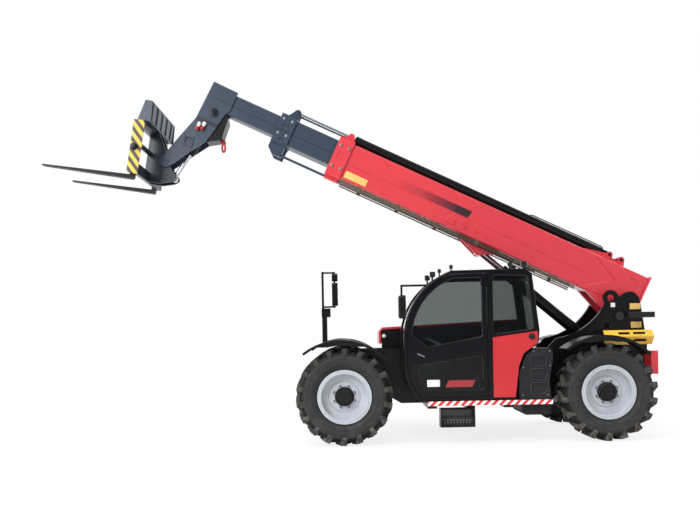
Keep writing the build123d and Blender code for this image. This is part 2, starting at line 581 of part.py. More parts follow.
mid = mid + rod_x(HOSE_Y, HOSE_N, HOSE_RADIUS, MID_REAR + 410, mid_collar_rear + 20)
parts["mid_boom"] = on_boom(mid)
rod = rod_x(0, EXTEND_AXIS, EXTEND_ROD_RADIUS, MID_REAR + 610, mid_collar_rear + 30)
rod = rod + rod_y(rod_pin_s, EXTEND_AXIS, 44, -38, 38)
rod = rod - rod_y(rod_pin_s, EXTEND_AXIS, 25 + PIN_GAP, -60, 60)
parts["extend_rod"] = on_boom(rod)

# Boom inner section with the head welded to it
inner = tube(INNER_WIDTH, INNER_TOP, INNER_HEIGHT, WALL, INNER_REAR, INNER_FRONT, CORNER)
inner_pad_end = INNER_REAR + PAD_LENGTH
inner = inner + block(INNER_REAR, inner_pad_end, -60, 60, INNER_TOP - WALL / 2, MID_TOP - WALL - GAP)
inner = inner + block(INNER_REAR, inner_pad_end, -60, 60, MID_LOW + WALL + GAP, INNER_LOW + WALL / 2)
inner = inner + both(block(INNER_REAR, inner_pad_end, HEAD_IN - WALL / 2, MID_WIDTH / 2 - WALL - GAP,
                           INNER_LOW + 90, INNER_TOP - 90))
head_shape = [
    (382, 48), (405, -529), (517, -893), (600, -1180), (643, -1250), (640, -1320), (600, -1358), (553, -1370),
    (490, -1345), (413, -1235), (296, -1034), (133, -783), (82, -548), (44, -318), (0, -245), (0, 40),
]
head_outline = [(HEAD_S + s, INNER_TOP + n) for s, n in head_shape]
head = pair(head_outline, HEAD_IN, HEAD_OUT)
head = head + block(HEAD_S + 100, HEAD_S + 375, -HEAD_IN, HEAD_IN, INNER_TOP + 15, INNER_TOP + 45)
nose_shape = [(382, 48), (405, -529), (517, -893), (487, -895), (375, -529), (352, 45)]
head = head + plate([(HEAD_S + s, INNER_TOP + n) for s, n in nose_shape], -HEAD_IN, HEAD_IN)
head = head + both(rod_y(*TILT_BASE, 70, HEAD_IN - 70, HEAD_OUT + 14))
head = head + rod_y(*TILT_BASE, TILT_PIN_RADIUS, -HEAD_IN, HEAD_IN)
head = head + rod_y(*CARRIAGE_PIVOT, CARRIAGE_PIN_RADIUS, -HEAD_OUT - 14, HEAD_OUT + 14)
head = head + both(rod_y(*CARRIAGE_PIVOT, 62, HEAD_OUT - 2, HEAD_OUT + 11))
recess = [(HEAD_S + s, INNER_TOP + n) for s, n in ((300, -830), (400, -830), (430, -930), (330, -930))]
head = head - both(plate(recess, HEAD_OUT - 8, HEAD_OUT + 20))
coupler_s = HEAD_S + 320
for step_n in (-610, -660):
    head = head + rod_y(coupler_s, INNER_TOP + step_n, 16, HEAD_OUT - 4, HEAD_OUT + 45)
parts["inner_boom"] = on_boom(inner + head)

# Tilt cylinder inside the head
tilt_base = boom_point(*TILT_BASE)
tilt_lug = carriage_point(*TILT_LUG)
tilt_length = distance(tilt_base, tilt_lug)
tilt_barrel = rod_x(0, 0, TILT_RADIUS, 45, TILT_BARREL_LENGTH) + rod_y(0, 0, TILT_RADIUS, -55, 55)
tilt_barrel = tilt_barrel - rod_x(0, 0, TILT_RADIUS - 12, 110, TILT_BARREL_LENGTH - 50)
tilt_barrel = tilt_barrel - rod_x(0, 0, TILT_ROD_RADIUS + GAP, 110, TILT_BARREL_LENGTH + OVERCUT)
tilt_barrel = tilt_barrel - rod_y(0, 0, TILT_PIN_RADIUS + PIN_GAP, -90, 90)
parts["tilt_barrel"] = along(tilt_base, tilt_lug, tilt_barrel)
tilt_rod = rod_x(0, 0, TILT_ROD_RADIUS, TILT_BARREL_LENGTH - 210, tilt_length - 40)
tilt_rod = tilt_rod + rod_y(tilt_length, 0, 48, -40, 40) - rod_y(tilt_length, 0, 28, -60, 60)
parts["tilt_rod"] = along(tilt_base, tilt_lug, tilt_rod)

# Lift cylinder under the boom
lift_pin = boom_point(*LIFT_PIN)
lift_length = distance(LIFT_BASE, lift_pin)
lift_barrel = rod_x(0, 0, LIFT_RADIUS, 60, LIFT_BARREL_LENGTH)
lift_barrel = lift_barrel + rod_y(0, 0, LIFT_RADIUS + 6, -LIFT_FOOT_HALF, LIFT_FOOT_HALF)
lift_barrel = lift_barrel - rod_x(0, 0, LIFT_RADIUS - 14, 150, LIFT_BARREL_LENGTH - 70)
lift_barrel = lift_barrel - rod_x(0, 0, LIFT_ROD_RADIUS + GAP, 150, LIFT_BARREL_LENGTH + OVERCUT)
lift_barrel = lift_barrel - rod_y(0, 0, PIVOT_PIN_RADIUS + PIN_GAP, -90, 90)
parts["lift_barrel"] = along(LIFT_BASE, lift_pin, lift_barrel)
lift_rod = rod_x(0, 0, LIFT_ROD_RADIUS, LIFT_BARREL_LENGTH - 650, lift_length - 50)
lift_rod = lift_rod + rod_y(lift_length, 0, 72, -65, 65)
lift_rod = lift_rod - rod_y(lift_length, 0, LIFT_PIN_RADIUS + PIN_GAP, -90, 90)
parts["lift_rod"] = along(LIFT_BASE, lift_pin, lift_rod)

# Carriage frame, drawn from its pivot with X along the forks
coupler = [(-70, 40), (-40, 80), (130, 400), (255, 400), (255, -320), (20, -320), (-150, -270),
           (-205, -225), (-200, -180), (-110, -80)]
carriage = pair(coupler, COUPLER_IN, COUPLER_OUT) - rod_y(0, 0, CARRIAGE_PIN_RADIUS + PIN_GAP, -300, 300)
carriage = carriage + both(rod_y(*TILT_LUG, 45, 45, COUPLER_OUT))
bar_back = 195.0
bar_front = 255.0
half = CARRIAGE_WIDTH / 2
carriage = carriage + block(bar_back, bar_front, -half, half, 310, 400)
carriage = carriage + block(bar_back, bar_front, -half, half, -320, -180)
carriage = carriage + rod_y(218, 75, 35, -half, half)
end_plate = [(bar_back, -320), (345, -320), (345, 415), (bar_back, 415)]
carriage = carriage + both(rounded(end_plate, half - 20, half, 18))
parts["carriage"] = on_carriage(carriage)
rest_end = [(115, 415), (297, 415), (226, 696), (129, 696)]
rest = pair(rest_end, half - 14, half) + block(130, 226, -half, half, 676, 696)
rest = rest + block(135, 260, -half, half, 415, 435)
slat_pitch = (CARRIAGE_WIDTH - 100) / 11
for slat in range(-5, 6):
    slat_y = slat * slat_pitch
    rest = rest + block(150, 165, slat_y - 22, slat_y + 22, 430, 680)
rest = rest + block(138, 150, -half, half, 425, 685)
rest = rest + both(block(200, 250, 300, 340, 400, 420))
parts["backrest"] = on_carriage(rest)
heel = -335 - FORK_THICK
shank_front = bar_front + FORK_THICK
fork_tip = shank_front + FORK_LENGTH
blade = [(bar_front, 400), (shank_front, 400), (shank_front, heel + FORK_THICK), (fork_tip, heel + 15),
         (fork_tip, heel), (bar_front + 20, heel - 5), (bar_front, heel + 15)]
fork_y = FORK_SPACING / 2
fork = plate(blade, fork_y - FORK_WIDTH / 2, fork_y + FORK_WIDTH / 2)
tip_edges = fork.edges().filter_by(Axis.Z).sort_by(Axis.X)[-2:]
fork = fillet(tip_edges, FORK_WIDTH / 3)
parts["forks"] = on_carriage(both(fork))

# Cab shell drawn from its side outline
roof_rear = Vector(bay(-2400), 0, high(2275))
roof_front = Vector(bay(-1420), 0, high(2265))
brow = Vector(bay(-985), 0, high(1950))
belly = Vector(bay(-788), 0, high(1330))
shin = Vector(bay(-784), 0, high(1109))
calf = Vector(bay(-835), 0, high(780))
toe = Vector(bay(-985), 0, FLOOR_Z)
heel_low = Vector(bay(-2240), 0, FLOOR_Z)
heel_top = Vector(bay(-2260), 0, high(800))
waist = Vector(bay(-2345), 0, high(1130))
hip = Vector(bay(-2545), 0, high(1270))
shoulder = Vector(bay(-2564), 0, high(1465))
crown = Vector(bay(-2475), 0, high(2210))
cab_edges = [
    Line(roof_rear, roof_front), ThreePointArc(roof_front, brow, belly), Line(belly, shin),
    ThreePointArc(shin, calf, toe), Polyline(toe, heel_low, heel_top),
    ThreePointArc(heel_top, waist, hip), Polyline(hip, shoulder, crown, roof_rear),
]
cab_face = make_face(cab_edges)
CAB_TOP = high(2400)
FRONT_END = bay(-600)
REAR_END = bay(-2700)


def cab_slice(inset, y0, y1):
    """Cab outline, set in by an even margin, thick from y0 to y1."""
    face = offset(cab_face, amount=-inset) if inset else cab_face
    return Pos(0, y0, 0) * extrude(face, amount=y1 - y0, dir=(0, 1, 0))


def cab_shell(inset, thick):
    """Skin that follows the cab outline from one side wall to the other."""
    hollow = cab_slice(inset + thick, CAB_RIGHT_IN - OVERCUT, CAB_LEFT_IN + OVERCUT)
    return cab_slice(inset, CAB_RIGHT_IN, CAB_LEFT_IN) - hollow


def cab_box(x0, x1, z0, z1):
    """Box across the whole cab, for splitting its skin into panels."""
    return block(x0, x1, 0, 2 * CAB_SIDE, z0, z1)


def rounded_window(points, y0, y1, radius=60.0):
    """Window outline with rounded corners."""
    return rounded([(bay(x), high(z)) for x, z in points], y0, y1, radius)


shell = cab_shell(0, CAB_WALL)
roof_box = cab_box(REAR_END, bay(-1420), high(2150), CAB_TOP)
floor_box = cab_box(bay(-2400), bay(-985), FLOOR_Z - 200, FLOOR_Z + 80)
nose_box = cab_box(bay(-1420), FRONT_END, FLOOR_Z - 200, CAB_TOP) - floor_box
across_in = CAB_RIGHT_IN + 45
across_out = CAB_LEFT_IN - 45
screen_cut = block(bay(-1420), FRONT_END, across_in, across_out, high(760), high(2200))
rear_cut = block(REAR_END, bay(-2400), across_in + 15, across_out - 15, high(1480), high(2130))
rear_cut = fillet(rear_cut.edges().filter_by(Axis.X), 60)
parts["cab_roof"] = shell & roof_box
parts["cab_floor"] = shell & floor_box
parts["cab_front"] = (shell & nose_box) - screen_cut
parts["cab_rear"] = shell - roof_box - floor_box - nose_box - rear_cut
pane_skin = cab_shell(15, GLASS)
windscreen = pane_skin & screen_cut
rear_glass = pane_skin & rear_cut

# Cab side walls, with the door opening and the rounded rear side window
door_margin = 45.0
door_box = block(DOOR_REAR, FRONT_END, CAB_LEFT_IN - 100, CAB_SIDE + 100, FLOOR_Z, CAB_TOP)
opening = cab_slice(door_margin, CAB_LEFT_IN - 50, CAB_SIDE + 50) & door_box
quarter_window = [(-1950, 1410), (-2495, 1480), (-2425, 2185), (-1950, 2205)]
pane_y = CAB_SIDE - 30
left = cab_slice(0, CAB_LEFT_IN, CAB_SIDE)
left = fillet(left.faces().sort_by(Axis.Y)[-1].edges(), 22)
left = left - opening - rounded_window(quarter_window, CAB_LEFT_IN - 20, CAB_SIDE + 20)
quarter_glass = rounded_window(quarter_window, pane_y, pane_y + GLASS)
hinge_x, hinge_y = DOOR_AXIS
hinge_heights = [high(z) for z in (760, 1330, 2060)]
HINGE_TALL = 50.0
for hinge_z in hinge_heights:
    left = left + block(hinge_x - 45, hinge_x + 8, CAB_SIDE - 5, hinge_y + 12, hinge_z - 30, hinge_z)
    left = left + rod_z(hinge_x, hinge_y, 8, hinge_z - 30, hinge_z + HINGE_TALL)
parts["cab_left_side"] = left
right_window = [(-2480, 1400), (-2420, 2170), (-700, 2170), (-700, 1400)]
right_outline = plate([(bay(x), high(z)) for x, z in right_window], CAB_RIGHT - 20, CAB_RIGHT_IN + 20)
right_cut = cab_slice(110, CAB_RIGHT - 30, CAB_RIGHT_IN + 30) & right_outline
right_cut = fillet(right_cut.edges().filter_by(Axis.Y).sort_by(Axis.X)[:2], 60)
right = cab_slice(0, CAB_RIGHT, CAB_RIGHT_IN)
right = fillet(right.faces().sort_by(Axis.Y)[0].edges(), 22)
parts["cab_right_side"] = right - right_cut
right_pane_y = CAB_RIGHT + 15
right_glass = right_cut & block(REAR_END, FRONT_END, right_pane_y, right_pane_y + GLASS, FLOOR_Z, CAB_TOP)
parts["cab_glass"] = windscreen + rear_glass + quarter_glass + right_glass

# Door with an upper and a lower pane, on three hinges at the pillar
door_inset = door_margin + DOOR_GAP
door_limits = block(DOOR_REAR + DOOR_GAP, FRONT_END, CAB_LEFT_IN - 100, CAB_SIDE + 100,
                    FLOOR_Z + DOOR_GAP, CAB_TOP)
door = cab_slice(door_inset, CAB_LEFT_IN + 2, CAB_SIDE) & door_limits
panes = cab_slice(door_inset + 45, CAB_LEFT_IN - 50, CAB_SIDE + 50)
upper_pane = [(-1820, 2300), (-1820, 1391), (-1100, 1259), (-700, 1578), (-700, 2300)]
lower_pane = [(-1820, 1155), (-1820, 690), (-700, 690), (-700, 1000)]
door_panes = []
for outline in (upper_pane, lower_pane):
    cutter = plate([(bay(x), high(z)) for x, z in outline], CAB_LEFT_IN - 40, CAB_SIDE + 40)
    pane = panes & cutter
    pane = fillet(pane.edges().filter_by(Axis.Y).sort_by(Axis.X)[:2], 40)
    door = door - pane
    door_panes.append(pane & block(REAR_END, FRONT_END, pane_y, pane_y + GLASS, FLOOR_Z, CAB_TOP))
for hinge_z in hinge_heights:
    low = hinge_z + GAP
    top = hinge_z + HINGE_TALL
    strap = block(hinge_x, DOOR_REAR + 80, CAB_SIDE, CAB_SIDE + 8, low, top)
    knuckle_part = rod_z(hinge_x, hinge_y, 16, low, top)
    link = block(hinge_x - 5, hinge_x + 14, CAB_SIDE + 2, hinge_y, low, top)
    hole = rod_z(hinge_x, hinge_y, 8 + PIN_GAP, low - 10, top + 10)
    door = door + (strap + knuckle_part + link - hole)
handle = [(-935, 1180), (-1062, 1125), (-1074, 1152), (-947, 1207)]
door = door + plate([(bay(x), high(z)) for x, z in handle], CAB_SIDE - 5, CAB_SIDE + 25)
parts["door"] = door
parts["door_glass"] = total(door_panes)

# Body panels on the left side, sill, step and tank
quarter = [(-1945, 600), (-1945, 1380), (-2530, 1455), (-2530, 1300), (-2345, 1170), (-2280, 1000),
           (-2230, 600)]
quarter_outline = [(bay(x), high(z)) for x, z in quarter]
parts["quarter_panel"] = plate(quarter_outline, CAB_SIDE, CAB_SIDE + 12)
locker_out = CAB_SIDE - 20
locker_low = FLOOR_Z - GAP
locker_outline = [(bay(-2285), FLOOR_Z), (bay(-2285), high(900)), (bay(-2370), high(1130)),
                  (bay(-2480), high(1228)), (bay(-2700), high(1228)), (bay(-2729), high(1190)),
                  (bay(-2729), high(1080)), (bay(-2680), high(800)), (bay(-2700), FLOOR_Z)]
locker = plate(locker_outline, locker_out - 280, locker_out)
for low, top in ((640, 780), (820, 960), (1000, 1140)):
    recess = [(-2440, low), (-2440, top), (-2650, top), (-2630, low)]
    locker = locker - rounded_window(recess, locker_out - 12, locker_out + 20, 25)
parts["side_locker"] = locker
parts["sill"] = block(bay(-2715), bay(-1086), CAB_LEFT_IN - 10, CAB_SIDE + 8, FLOOR_Z - 60, locker_low)
step_front = bay(-1250)
step_rear = bay(-1700)
step_out = CAB_SIDE
step_in = CAB_SIDE - 190
step_top = FLOOR_Z - 100
step = block(step_rear, step_front, step_in, step_out, high(218), high(245))
step = step + block(step_rear, step_front, step_in, step_out, step_top - 15, step_top)
step = step + block(step_rear, step_rear + 20, step_in, step_out, high(218), step_top)
step = step + block(step_front - 20, step_front, step_in, step_out, high(218), step_top)
step = step + block(step_rear, step_front, step_in, step_in + 15, high(218), step_top)
parts["step"] = step
tank = block(bay(-2715), bay(-2330), FRAME_OUT + 95, CAB_LEFT_IN - 50, high(352), locker_low)
parts["belly_tank"] = fillet(tank.edges().filter_by(Axis.Y).group_by(Axis.Z)[0], 70)

# Seat and steering inside the cab
seat_y = (CAB_LEFT_IN + CAB_RIGHT_IN) / 2
floor_top = FLOOR_Z + CAB_WALL
cushion = block(bay(-2150), bay(-1700), seat_y - 230, seat_y + 230, high(800), high(920))
back = block(bay(-2200), bay(-2090), seat_y - 210, seat_y + 210, high(900), high(1520))
base = block(bay(-2100), bay(-1760), seat_y - 170, seat_y + 170, floor_top, high(800))
cushion = fillet(cushion.edges().filter_by(Axis.X), 35)
back = fillet(back.edges().filter_by(Axis.X).group_by(Axis.Z)[-1], 60)
parts["seat"] = cushion + back + base
column_outline = [(-1140, 605), (-1000, 760), (-1000, 900), (-1120, 1250), (-1200, 1250), (-1250, 605)]
column = plate([(bay(x), high(z)) for x, z in column_outline], seat_y - 110, seat_y + 110)
wheel_at = Pos(bay(-1290), seat_y, high(1300)) * Rot(0, -25, 0)
steering_wheel = wheel_at * (Cylinder(190, 25) - Cylinder(165, 60) + Box(350, 40, 16))
post_outline = [(-1130, 1200), (-1170, 1250), (-1285, 1310), (-1265, 1270)]
post = plate([(bay(x), high(z)) for x, z in post_outline], seat_y - 25, seat_y + 25)
parts["steering_console"] = column + steering_wheel + post

# Engine block, tub and hood on the right side
tub_in = -CAB_RIGHT
tub_out = 10 - CAB_SIDE
tub_front = bay(-780)
tub_rear = bay(-2690)
parts["engine_block"] = block(bay(-2500), bay(-1100), tub_out + 190, tub_in - 75, FLOOR_Z, high(1250))
tub = plate([(tub_front, FLOOR_Z), (tub_rear, FLOOR_Z), (tub_rear, high(1360)), (tub_front, high(1290))],
            tub_out, tub_in)
inside_front = tub_front - HOOD_WALL
inside_rear = tub_rear + HOOD_WALL
tub = tub - block(inside_rear, inside_front, tub_out + HOOD_WALL, tub_in - HOOD_WALL,
                  FLOOR_Z - 20, high(1400))
hood_tip = bay(-523)
hood_front = (bay(-575), high(1545))
hood_rear = (tub_rear, high(1635))
hood_drop = 36.0
inner_wall = [(hood_tip - 37, high(1225)), (hood_tip - 37, high(1475)),
              (bay(-590), hood_front[1] - hood_drop), (tub_rear, hood_rear[1] - hood_drop),
              (tub_rear, high(1200)), (tub_front, high(1200))]
tub = tub + plate(inner_wall, tub_in - HOOD_WALL, tub_in)
lid_low = 6.0
lid_outline = [(hood_tip, high(1300)), (hood_tip, high(1480)), hood_front, hood_rear,
               (tub_rear, high(1360) + lid_low), (tub_front, high(1290) + lid_low),
               (bay(-620), high(1290) + lid_low)]
lid = plate(lid_outline, tub_out, tub_in)
outer_edges = lid.faces().sort_by(Axis.Y)[0].edges().filter_by(lambda edge: edge.center().Z > high(1470))
lid = fillet(outer_edges, 45)
hood_room = hood_drop - lid_low
lid_inside = [(hood_tip - 30, high(1200)), (hood_tip - 30, high(1475)),
              (bay(-590), hood_front[1] - hood_room), (inside_rear, hood_rear[1] - hood_room - 2),
              (inside_rear, high(1200))]
lid = lid - plate(lid_inside, tub_out + HOOD_WALL, tub_in + OVERCUT)
wall_room = [(hood_tip + 20, high(1200)), (hood_tip + 20, high(1480)), (bay(-590), hood_front[1] - hood_room),
             (tub_rear - 100, hood_rear[1] - hood_room + 4), (tub_rear - 100, high(1200))]
lid = lid - plate(wall_room, tub_in - HOOD_WALL - 6, tub_in + OVERCUT)
LOUVRES = 9
louvre_pitch = (bay(-1050) - bay(-2350)) / LOUVRES
for louvre in range(LOUVRES):
    louvre_x = bay(-2350) + (louvre + 0.5) * louvre_pitch
    slot = block(louvre_x - 45, louvre_x + 45, tub_out - 10, tub_out + HOOD_WALL + 10, high(1405), high(1435))
    lid = lid - slot - Pos(0, 0, 60) * slot
hood_slope = degrees(atan2(hood_rear[1] - hood_front[1], hood_front[0] - hood_rear[0]))
for share in (0.2, 0.8):
    hinge_at_x = hood_front[0] + share * (hood_rear[0] - hood_front[0])
    hinge_at_z = hood_front[1] + share * (hood_rear[1] - hood_front[1])
    place = Pos(hinge_at_x, HOOD_AXIS_Y, hinge_at_z - 10) * Rot(0, hood_slope, 0)
    holder = block(42, 70, -7, 10, -32, 8) + block(42, 70, -13, 10, -60, -30)
    holder = holder + mirror(holder, about=Plane.YZ)
    tub = tub + place * (rod_x(0, 0, 7, -70, 70) + holder)
    barrel_part = rod_x(0, 0, 13, -40, 40) + block(-40, 40, -20, 0, -4, 8)
    lid = lid + place * (barrel_part - rod_x(0, 0, 7 + PIN_GAP, -60, 60))
parts["engine_tub"] = tub
parts["engine_hood"] = lid

# Slotted rear guards outside the side plates
guard_rear = aft(-812)
guard_long = 674.0
guard_profile = [(560, 1440), (650, 1351), (560, 1241), (552, 1246), (637, 1351), (552, 1433)]
guard_wire = Polyline(*[(guard_rear, y, high(z)) for y, z in guard_profile], close=True)
guard = extrude(make_face(guard_wire), amount=guard_long, dir=(1, 0, 0))
for slot_start, slot_end in ((95, 275), (320, 480)):
    for low, top in ((1380, 1412), (1280, 1316)):
        guard = guard - block(guard_rear + slot_start, guard_rear + slot_end, 540, 660, high(low), high(top))
for arm_x in (-650, -350):
    guard = guard + block(aft(arm_x), aft(arm_x) + 40, FRAME_OUT, 645, high(1335), high(1365))
parts["rear_guards"] = both(guard)

# Lamps: tail lamps, roof work lamps and markers on the front fenders
tail = block(aft(-858), aft(-501), 470, 560, high(1610), high(1690))
tail = fillet(tail.edges().filter_by(Axis.X), 15)
tail = tail + block(aft(-710), aft(-650), FRAME_OUT, 480, high(1630), high(1670))
lamps = [both(tail)]
for lamp_x, roof_z in ((-1180, 2150), (-2380, 2268)):
    for lamp_y in (CAB_LEFT_IN - 24, CAB_RIGHT_IN + 24):
        lamp = block(bay(lamp_x) - 35, bay(lamp_x) + 35, lamp_y - 45, lamp_y + 45,
                     high(roof_z + 35), high(roof_z + 105))
        lamp = fillet(lamp.edges().filter_by(Axis.X), 12)
        lamps.append(lamp + rod_z(bay(lamp_x), lamp_y, 12, high(roof_z - 20), high(roof_z + 45)))
parts["lamps"] = total(lamps) - parts["cab_roof"] - parts["cab_front"] - parts["cab_rear"]

# Mirrors: one on a bent arm by the door, one on a tall mast on the right front fender
arm_z = high(2080)
arm_y = CAB_LEFT_IN - 25
mirror_x = bay(-728)
left_mirror = block(mirror_x - 95, mirror_x, CAB_SIDE - 140, CAB_SIDE, high(1650), high(1955))
left_mirror = fillet(left_mirror.edges().filter_by(Axis.X), 40)
left_mirror = fillet(left_mirror.faces().sort_by(Axis.X)[-1].edges(), 30)
left_mirror = left_mirror + rod_z(mirror_x - 45, arm_y, 14, high(1930), arm_z + 14)
left_mirror = left_mirror + rod_x(arm_y, arm_z, 14, bay(-1110), mirror_x - 31)
left_mirror = left_mirror - parts["cab_left_side"] - parts["cab_front"]
left_mirror = left_mirror.solids().sort_by(SortBy.VOLUME)[-1]
mast_x = 308.0
mast_y = -1000.0
mast = block(mast_x - 40, mast_x + 40, mast_y - 30, mast_y + 30, high(1300), high(1860))
mast = mast + block(mast_x - 95, mast_x + 45, mast_y - 42, mast_y + 42, high(1725), high(1860))
mast = mast + rod_z(mast_x + 22, mast_y, 18, high(1850), high(2440))
hang_x = mast_x - 165
for arm_height in (1885, 2422):
    mast = mast + rod_x(mast_y, high(arm_height), 14, hang_x - 14, mast_x + 22)
mast = mast + rod_z(hang_x, mast_y, 14, high(1885), high(2422))
for half_glass, glass_low, glass_top in ((100, 1900, 2260), (70, 2285, 2405)):
    mast_glass = block(hang_x - 50, hang_x + 40, mast_y - half_glass, mast_y + half_glass,
                       high(glass_low), high(glass_top))
    mast = mast + fillet(mast_glass.edges().filter_by(Axis.X), 40)
mast = (mast - parts["fenders"]).solids().sort_by(SortBy.VOLUME)[-1]
parts["mirrors"] = left_mirror + mast

# Origin under the middle of the overall box: boom's rear flange to fork tips
rear_reach = boom_point(BOOM_REAR, OUTER_TOP + 20)[0]
front_reach = carriage_point(fork_tip, heel)[0]
ORIGIN_SHIFT = -(rear_reach + front_reach) / 2
for name, piece in parts.items():
    export_step(Pos(ORIGIN_SHIFT, 0, 0) * piece, "parts/" + name + ".step")
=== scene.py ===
"""Telescopic handler dressed for its picture: paint, rubber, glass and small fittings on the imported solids.

Lengths are metres in the part's own frame: X forward along the forks, Y to the machine's left, Z up.
"""

import bmesh
import bpy
import numpy as np
from mathutils import Matrix, Vector


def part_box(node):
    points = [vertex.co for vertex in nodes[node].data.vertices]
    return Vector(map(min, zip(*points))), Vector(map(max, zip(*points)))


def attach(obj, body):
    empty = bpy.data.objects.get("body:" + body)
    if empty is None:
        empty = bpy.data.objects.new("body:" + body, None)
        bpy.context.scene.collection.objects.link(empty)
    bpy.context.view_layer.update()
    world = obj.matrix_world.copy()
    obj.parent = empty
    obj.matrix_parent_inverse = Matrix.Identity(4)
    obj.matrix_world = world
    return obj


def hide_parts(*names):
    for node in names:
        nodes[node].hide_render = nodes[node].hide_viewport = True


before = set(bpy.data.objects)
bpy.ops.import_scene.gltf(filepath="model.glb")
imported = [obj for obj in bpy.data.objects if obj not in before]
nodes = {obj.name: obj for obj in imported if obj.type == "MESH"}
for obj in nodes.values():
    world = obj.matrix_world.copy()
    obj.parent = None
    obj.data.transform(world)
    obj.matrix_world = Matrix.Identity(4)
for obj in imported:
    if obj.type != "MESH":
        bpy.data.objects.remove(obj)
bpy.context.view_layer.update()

# Frame side plates and cross members: cut steel plate, welded up and painted satin black.
# The same black covers the fenders, step, engine tub and mirrors. All of it picks up pale road dust low down.
SIDES = (("left", 1.0), ("right", -1.0))
WHEELS = [(end + "_" + hand, end, side) for end in ("front", "rear") for hand, side in SIDES]
BLACK = (0.004, 0.004, 0.005, 1.0)
ROAD_DUST = (0.23, 0.21, 0.185, 1.0)
DUST_TOP = 1.3
DUST_AT_TOP = 0.12
DUST_EDGE = (0.42, 0.72)
DUST_DULLS = 0.45
MOTTLE_EDGE = (0.3, 0.7)
BUMP_DEPTH = 0.002
NODE_PITCH = 220.0
FACE_INPUTS = (("Base", "NodeSocketColor", BLACK), ("Dust", "NodeSocketColor", ROAD_DUST),
               ("Dust Amount", "NodeSocketFloat", 0.3), ("Roughness", "NodeSocketFloat", 0.4),
               ("Mottle", "NodeSocketFloat", 0.06), ("Peel", "NodeSocketFloat", 400.0),
               ("Patch", "NodeSocketFloat", 9.0))
FACE_OUTPUTS = (("Color", "NodeSocketColor"), ("Roughness", "NodeSocketFloat"), ("Height", "NodeSocketFloat"))


def feed(tree, place, value):
    """Join an input to a socket, or set it to a fixed value."""
    if isinstance(value, bpy.types.NodeSocket):
        tree.links.new(value, place)
    else:
        place.default_value = value


def fill(tree, node, **values):
    """Give a node its settings and its inputs by name."""
    for name, value in values.items():
        if hasattr(node, name):
            setattr(node, name, value)
        else:
            feed(tree, node.inputs[name.replace("_", " ")], value)


def add_node(tree, kind, *inputs, **values):
    """One more shader node in the row, with inputs given in order or by name."""
    node = tree.nodes.new(kind)
    node.location = (NODE_PITCH * len(tree.nodes), 0.0)
    fill(tree, node, **values)
    for place, value in zip(node.inputs, inputs):
        feed(tree, place, value)
    return node


def add_math(tree, operation, *inputs):
    """Result of one arithmetic node."""
    return add_node(tree, "ShaderNodeMath", *inputs, operation=operation).outputs[0]


def ramp(tree, value, limits, ends=(0.0, 1.0)):
    """Value carried from its two limits to two ends, and held beyond them."""
    node = add_node(tree, "ShaderNodeMapRange", Value=value, From_Min=limits[0], From_Max=limits[1],
                    To_Min=ends[0], To_Max=ends[1])
    return node.outputs["Result"]


def blend(tree, factor, first, second):
    """Colour between two others."""
    node = add_node(tree, "ShaderNodeMix", data_type="RGBA", Factor=factor, A=first, B=second)
    return node.outputs["Result"]


def make_dust_group():
    """Colour, roughness and height of a painted or moulded face.

    Broad noise mottles the base colour by a few percent, fine noise gives orange peel, and dust lies where
    a second noise passes a threshold, thinner with height above the ground.
    """
    tree = bpy.data.node_groups.new("dusty_face", "ShaderNodeTree")
    for name, kind, value in FACE_INPUTS:
        socket = tree.interface.new_socket(name, in_out="INPUT", socket_type=kind)
        socket.default_value = value
    for name, kind in FACE_OUTPUTS:
        tree.interface.new_socket(name, in_out="OUTPUT", socket_type=kind)
    given = add_node(tree, "NodeGroupInput").outputs
    where = add_node(tree, "ShaderNodeTexCoord").outputs["Object"]
    broad = add_node(tree, "ShaderNodeTexNoise", Vector=where, Scale=2.6, Detail=6.0)
    fine = add_node(tree, "ShaderNodeTexNoise", Vector=where, Scale=given["Peel"], Detail=2.0)
    patchy = add_node(tree, "ShaderNodeTexNoise", Vector=where, Scale=given["Patch"], Detail=8.0,
                      Roughness=0.65)
    height = add_node(tree, "ShaderNodeSeparateXYZ", where).outputs["Z"]
    low = ramp(tree, height, (0.0, DUST_TOP), (1.0, DUST_AT_TOP))
    shade = ramp(tree, broad.outputs["Fac"], MOTTLE_EDGE)
    keep = add_math(tree, "SUBTRACT", 1.0, given["Mottle"])
    twice = add_math(tree, "MULTIPLY", given["Mottle"], 2.0)
    spread = add_math(tree, "MULTIPLY_ADD", shade, twice, keep)
    mottled = add_node(tree, "ShaderNodeHueSaturation", Color=given["Base"], Value=spread)
    settle = ramp(tree, patchy.outputs["Fac"], DUST_EDGE)
    much = add_math(tree, "MULTIPLY", settle, given["Dust Amount"])
    much_low = add_math(tree, "MULTIPLY", much, low)
    cover = blend(tree, much_low, mottled.outputs["Color"], given["Dust"])
    dull = add_math(tree, "MULTIPLY_ADD", much_low, DUST_DULLS, given["Roughness"])
    add_node(tree, "NodeGroupOutput", Color=cover, Roughness=dull, Height=fine.outputs["Fac"])
    return tree


dusty_face = make_dust_group()


def new_material(name):
    """Material with its node tree and its main shader."""
    material = bpy.data.materials.new(name)
    material.use_nodes = True
    return material, material.node_tree, material.node_tree.nodes["Principled BSDF"]


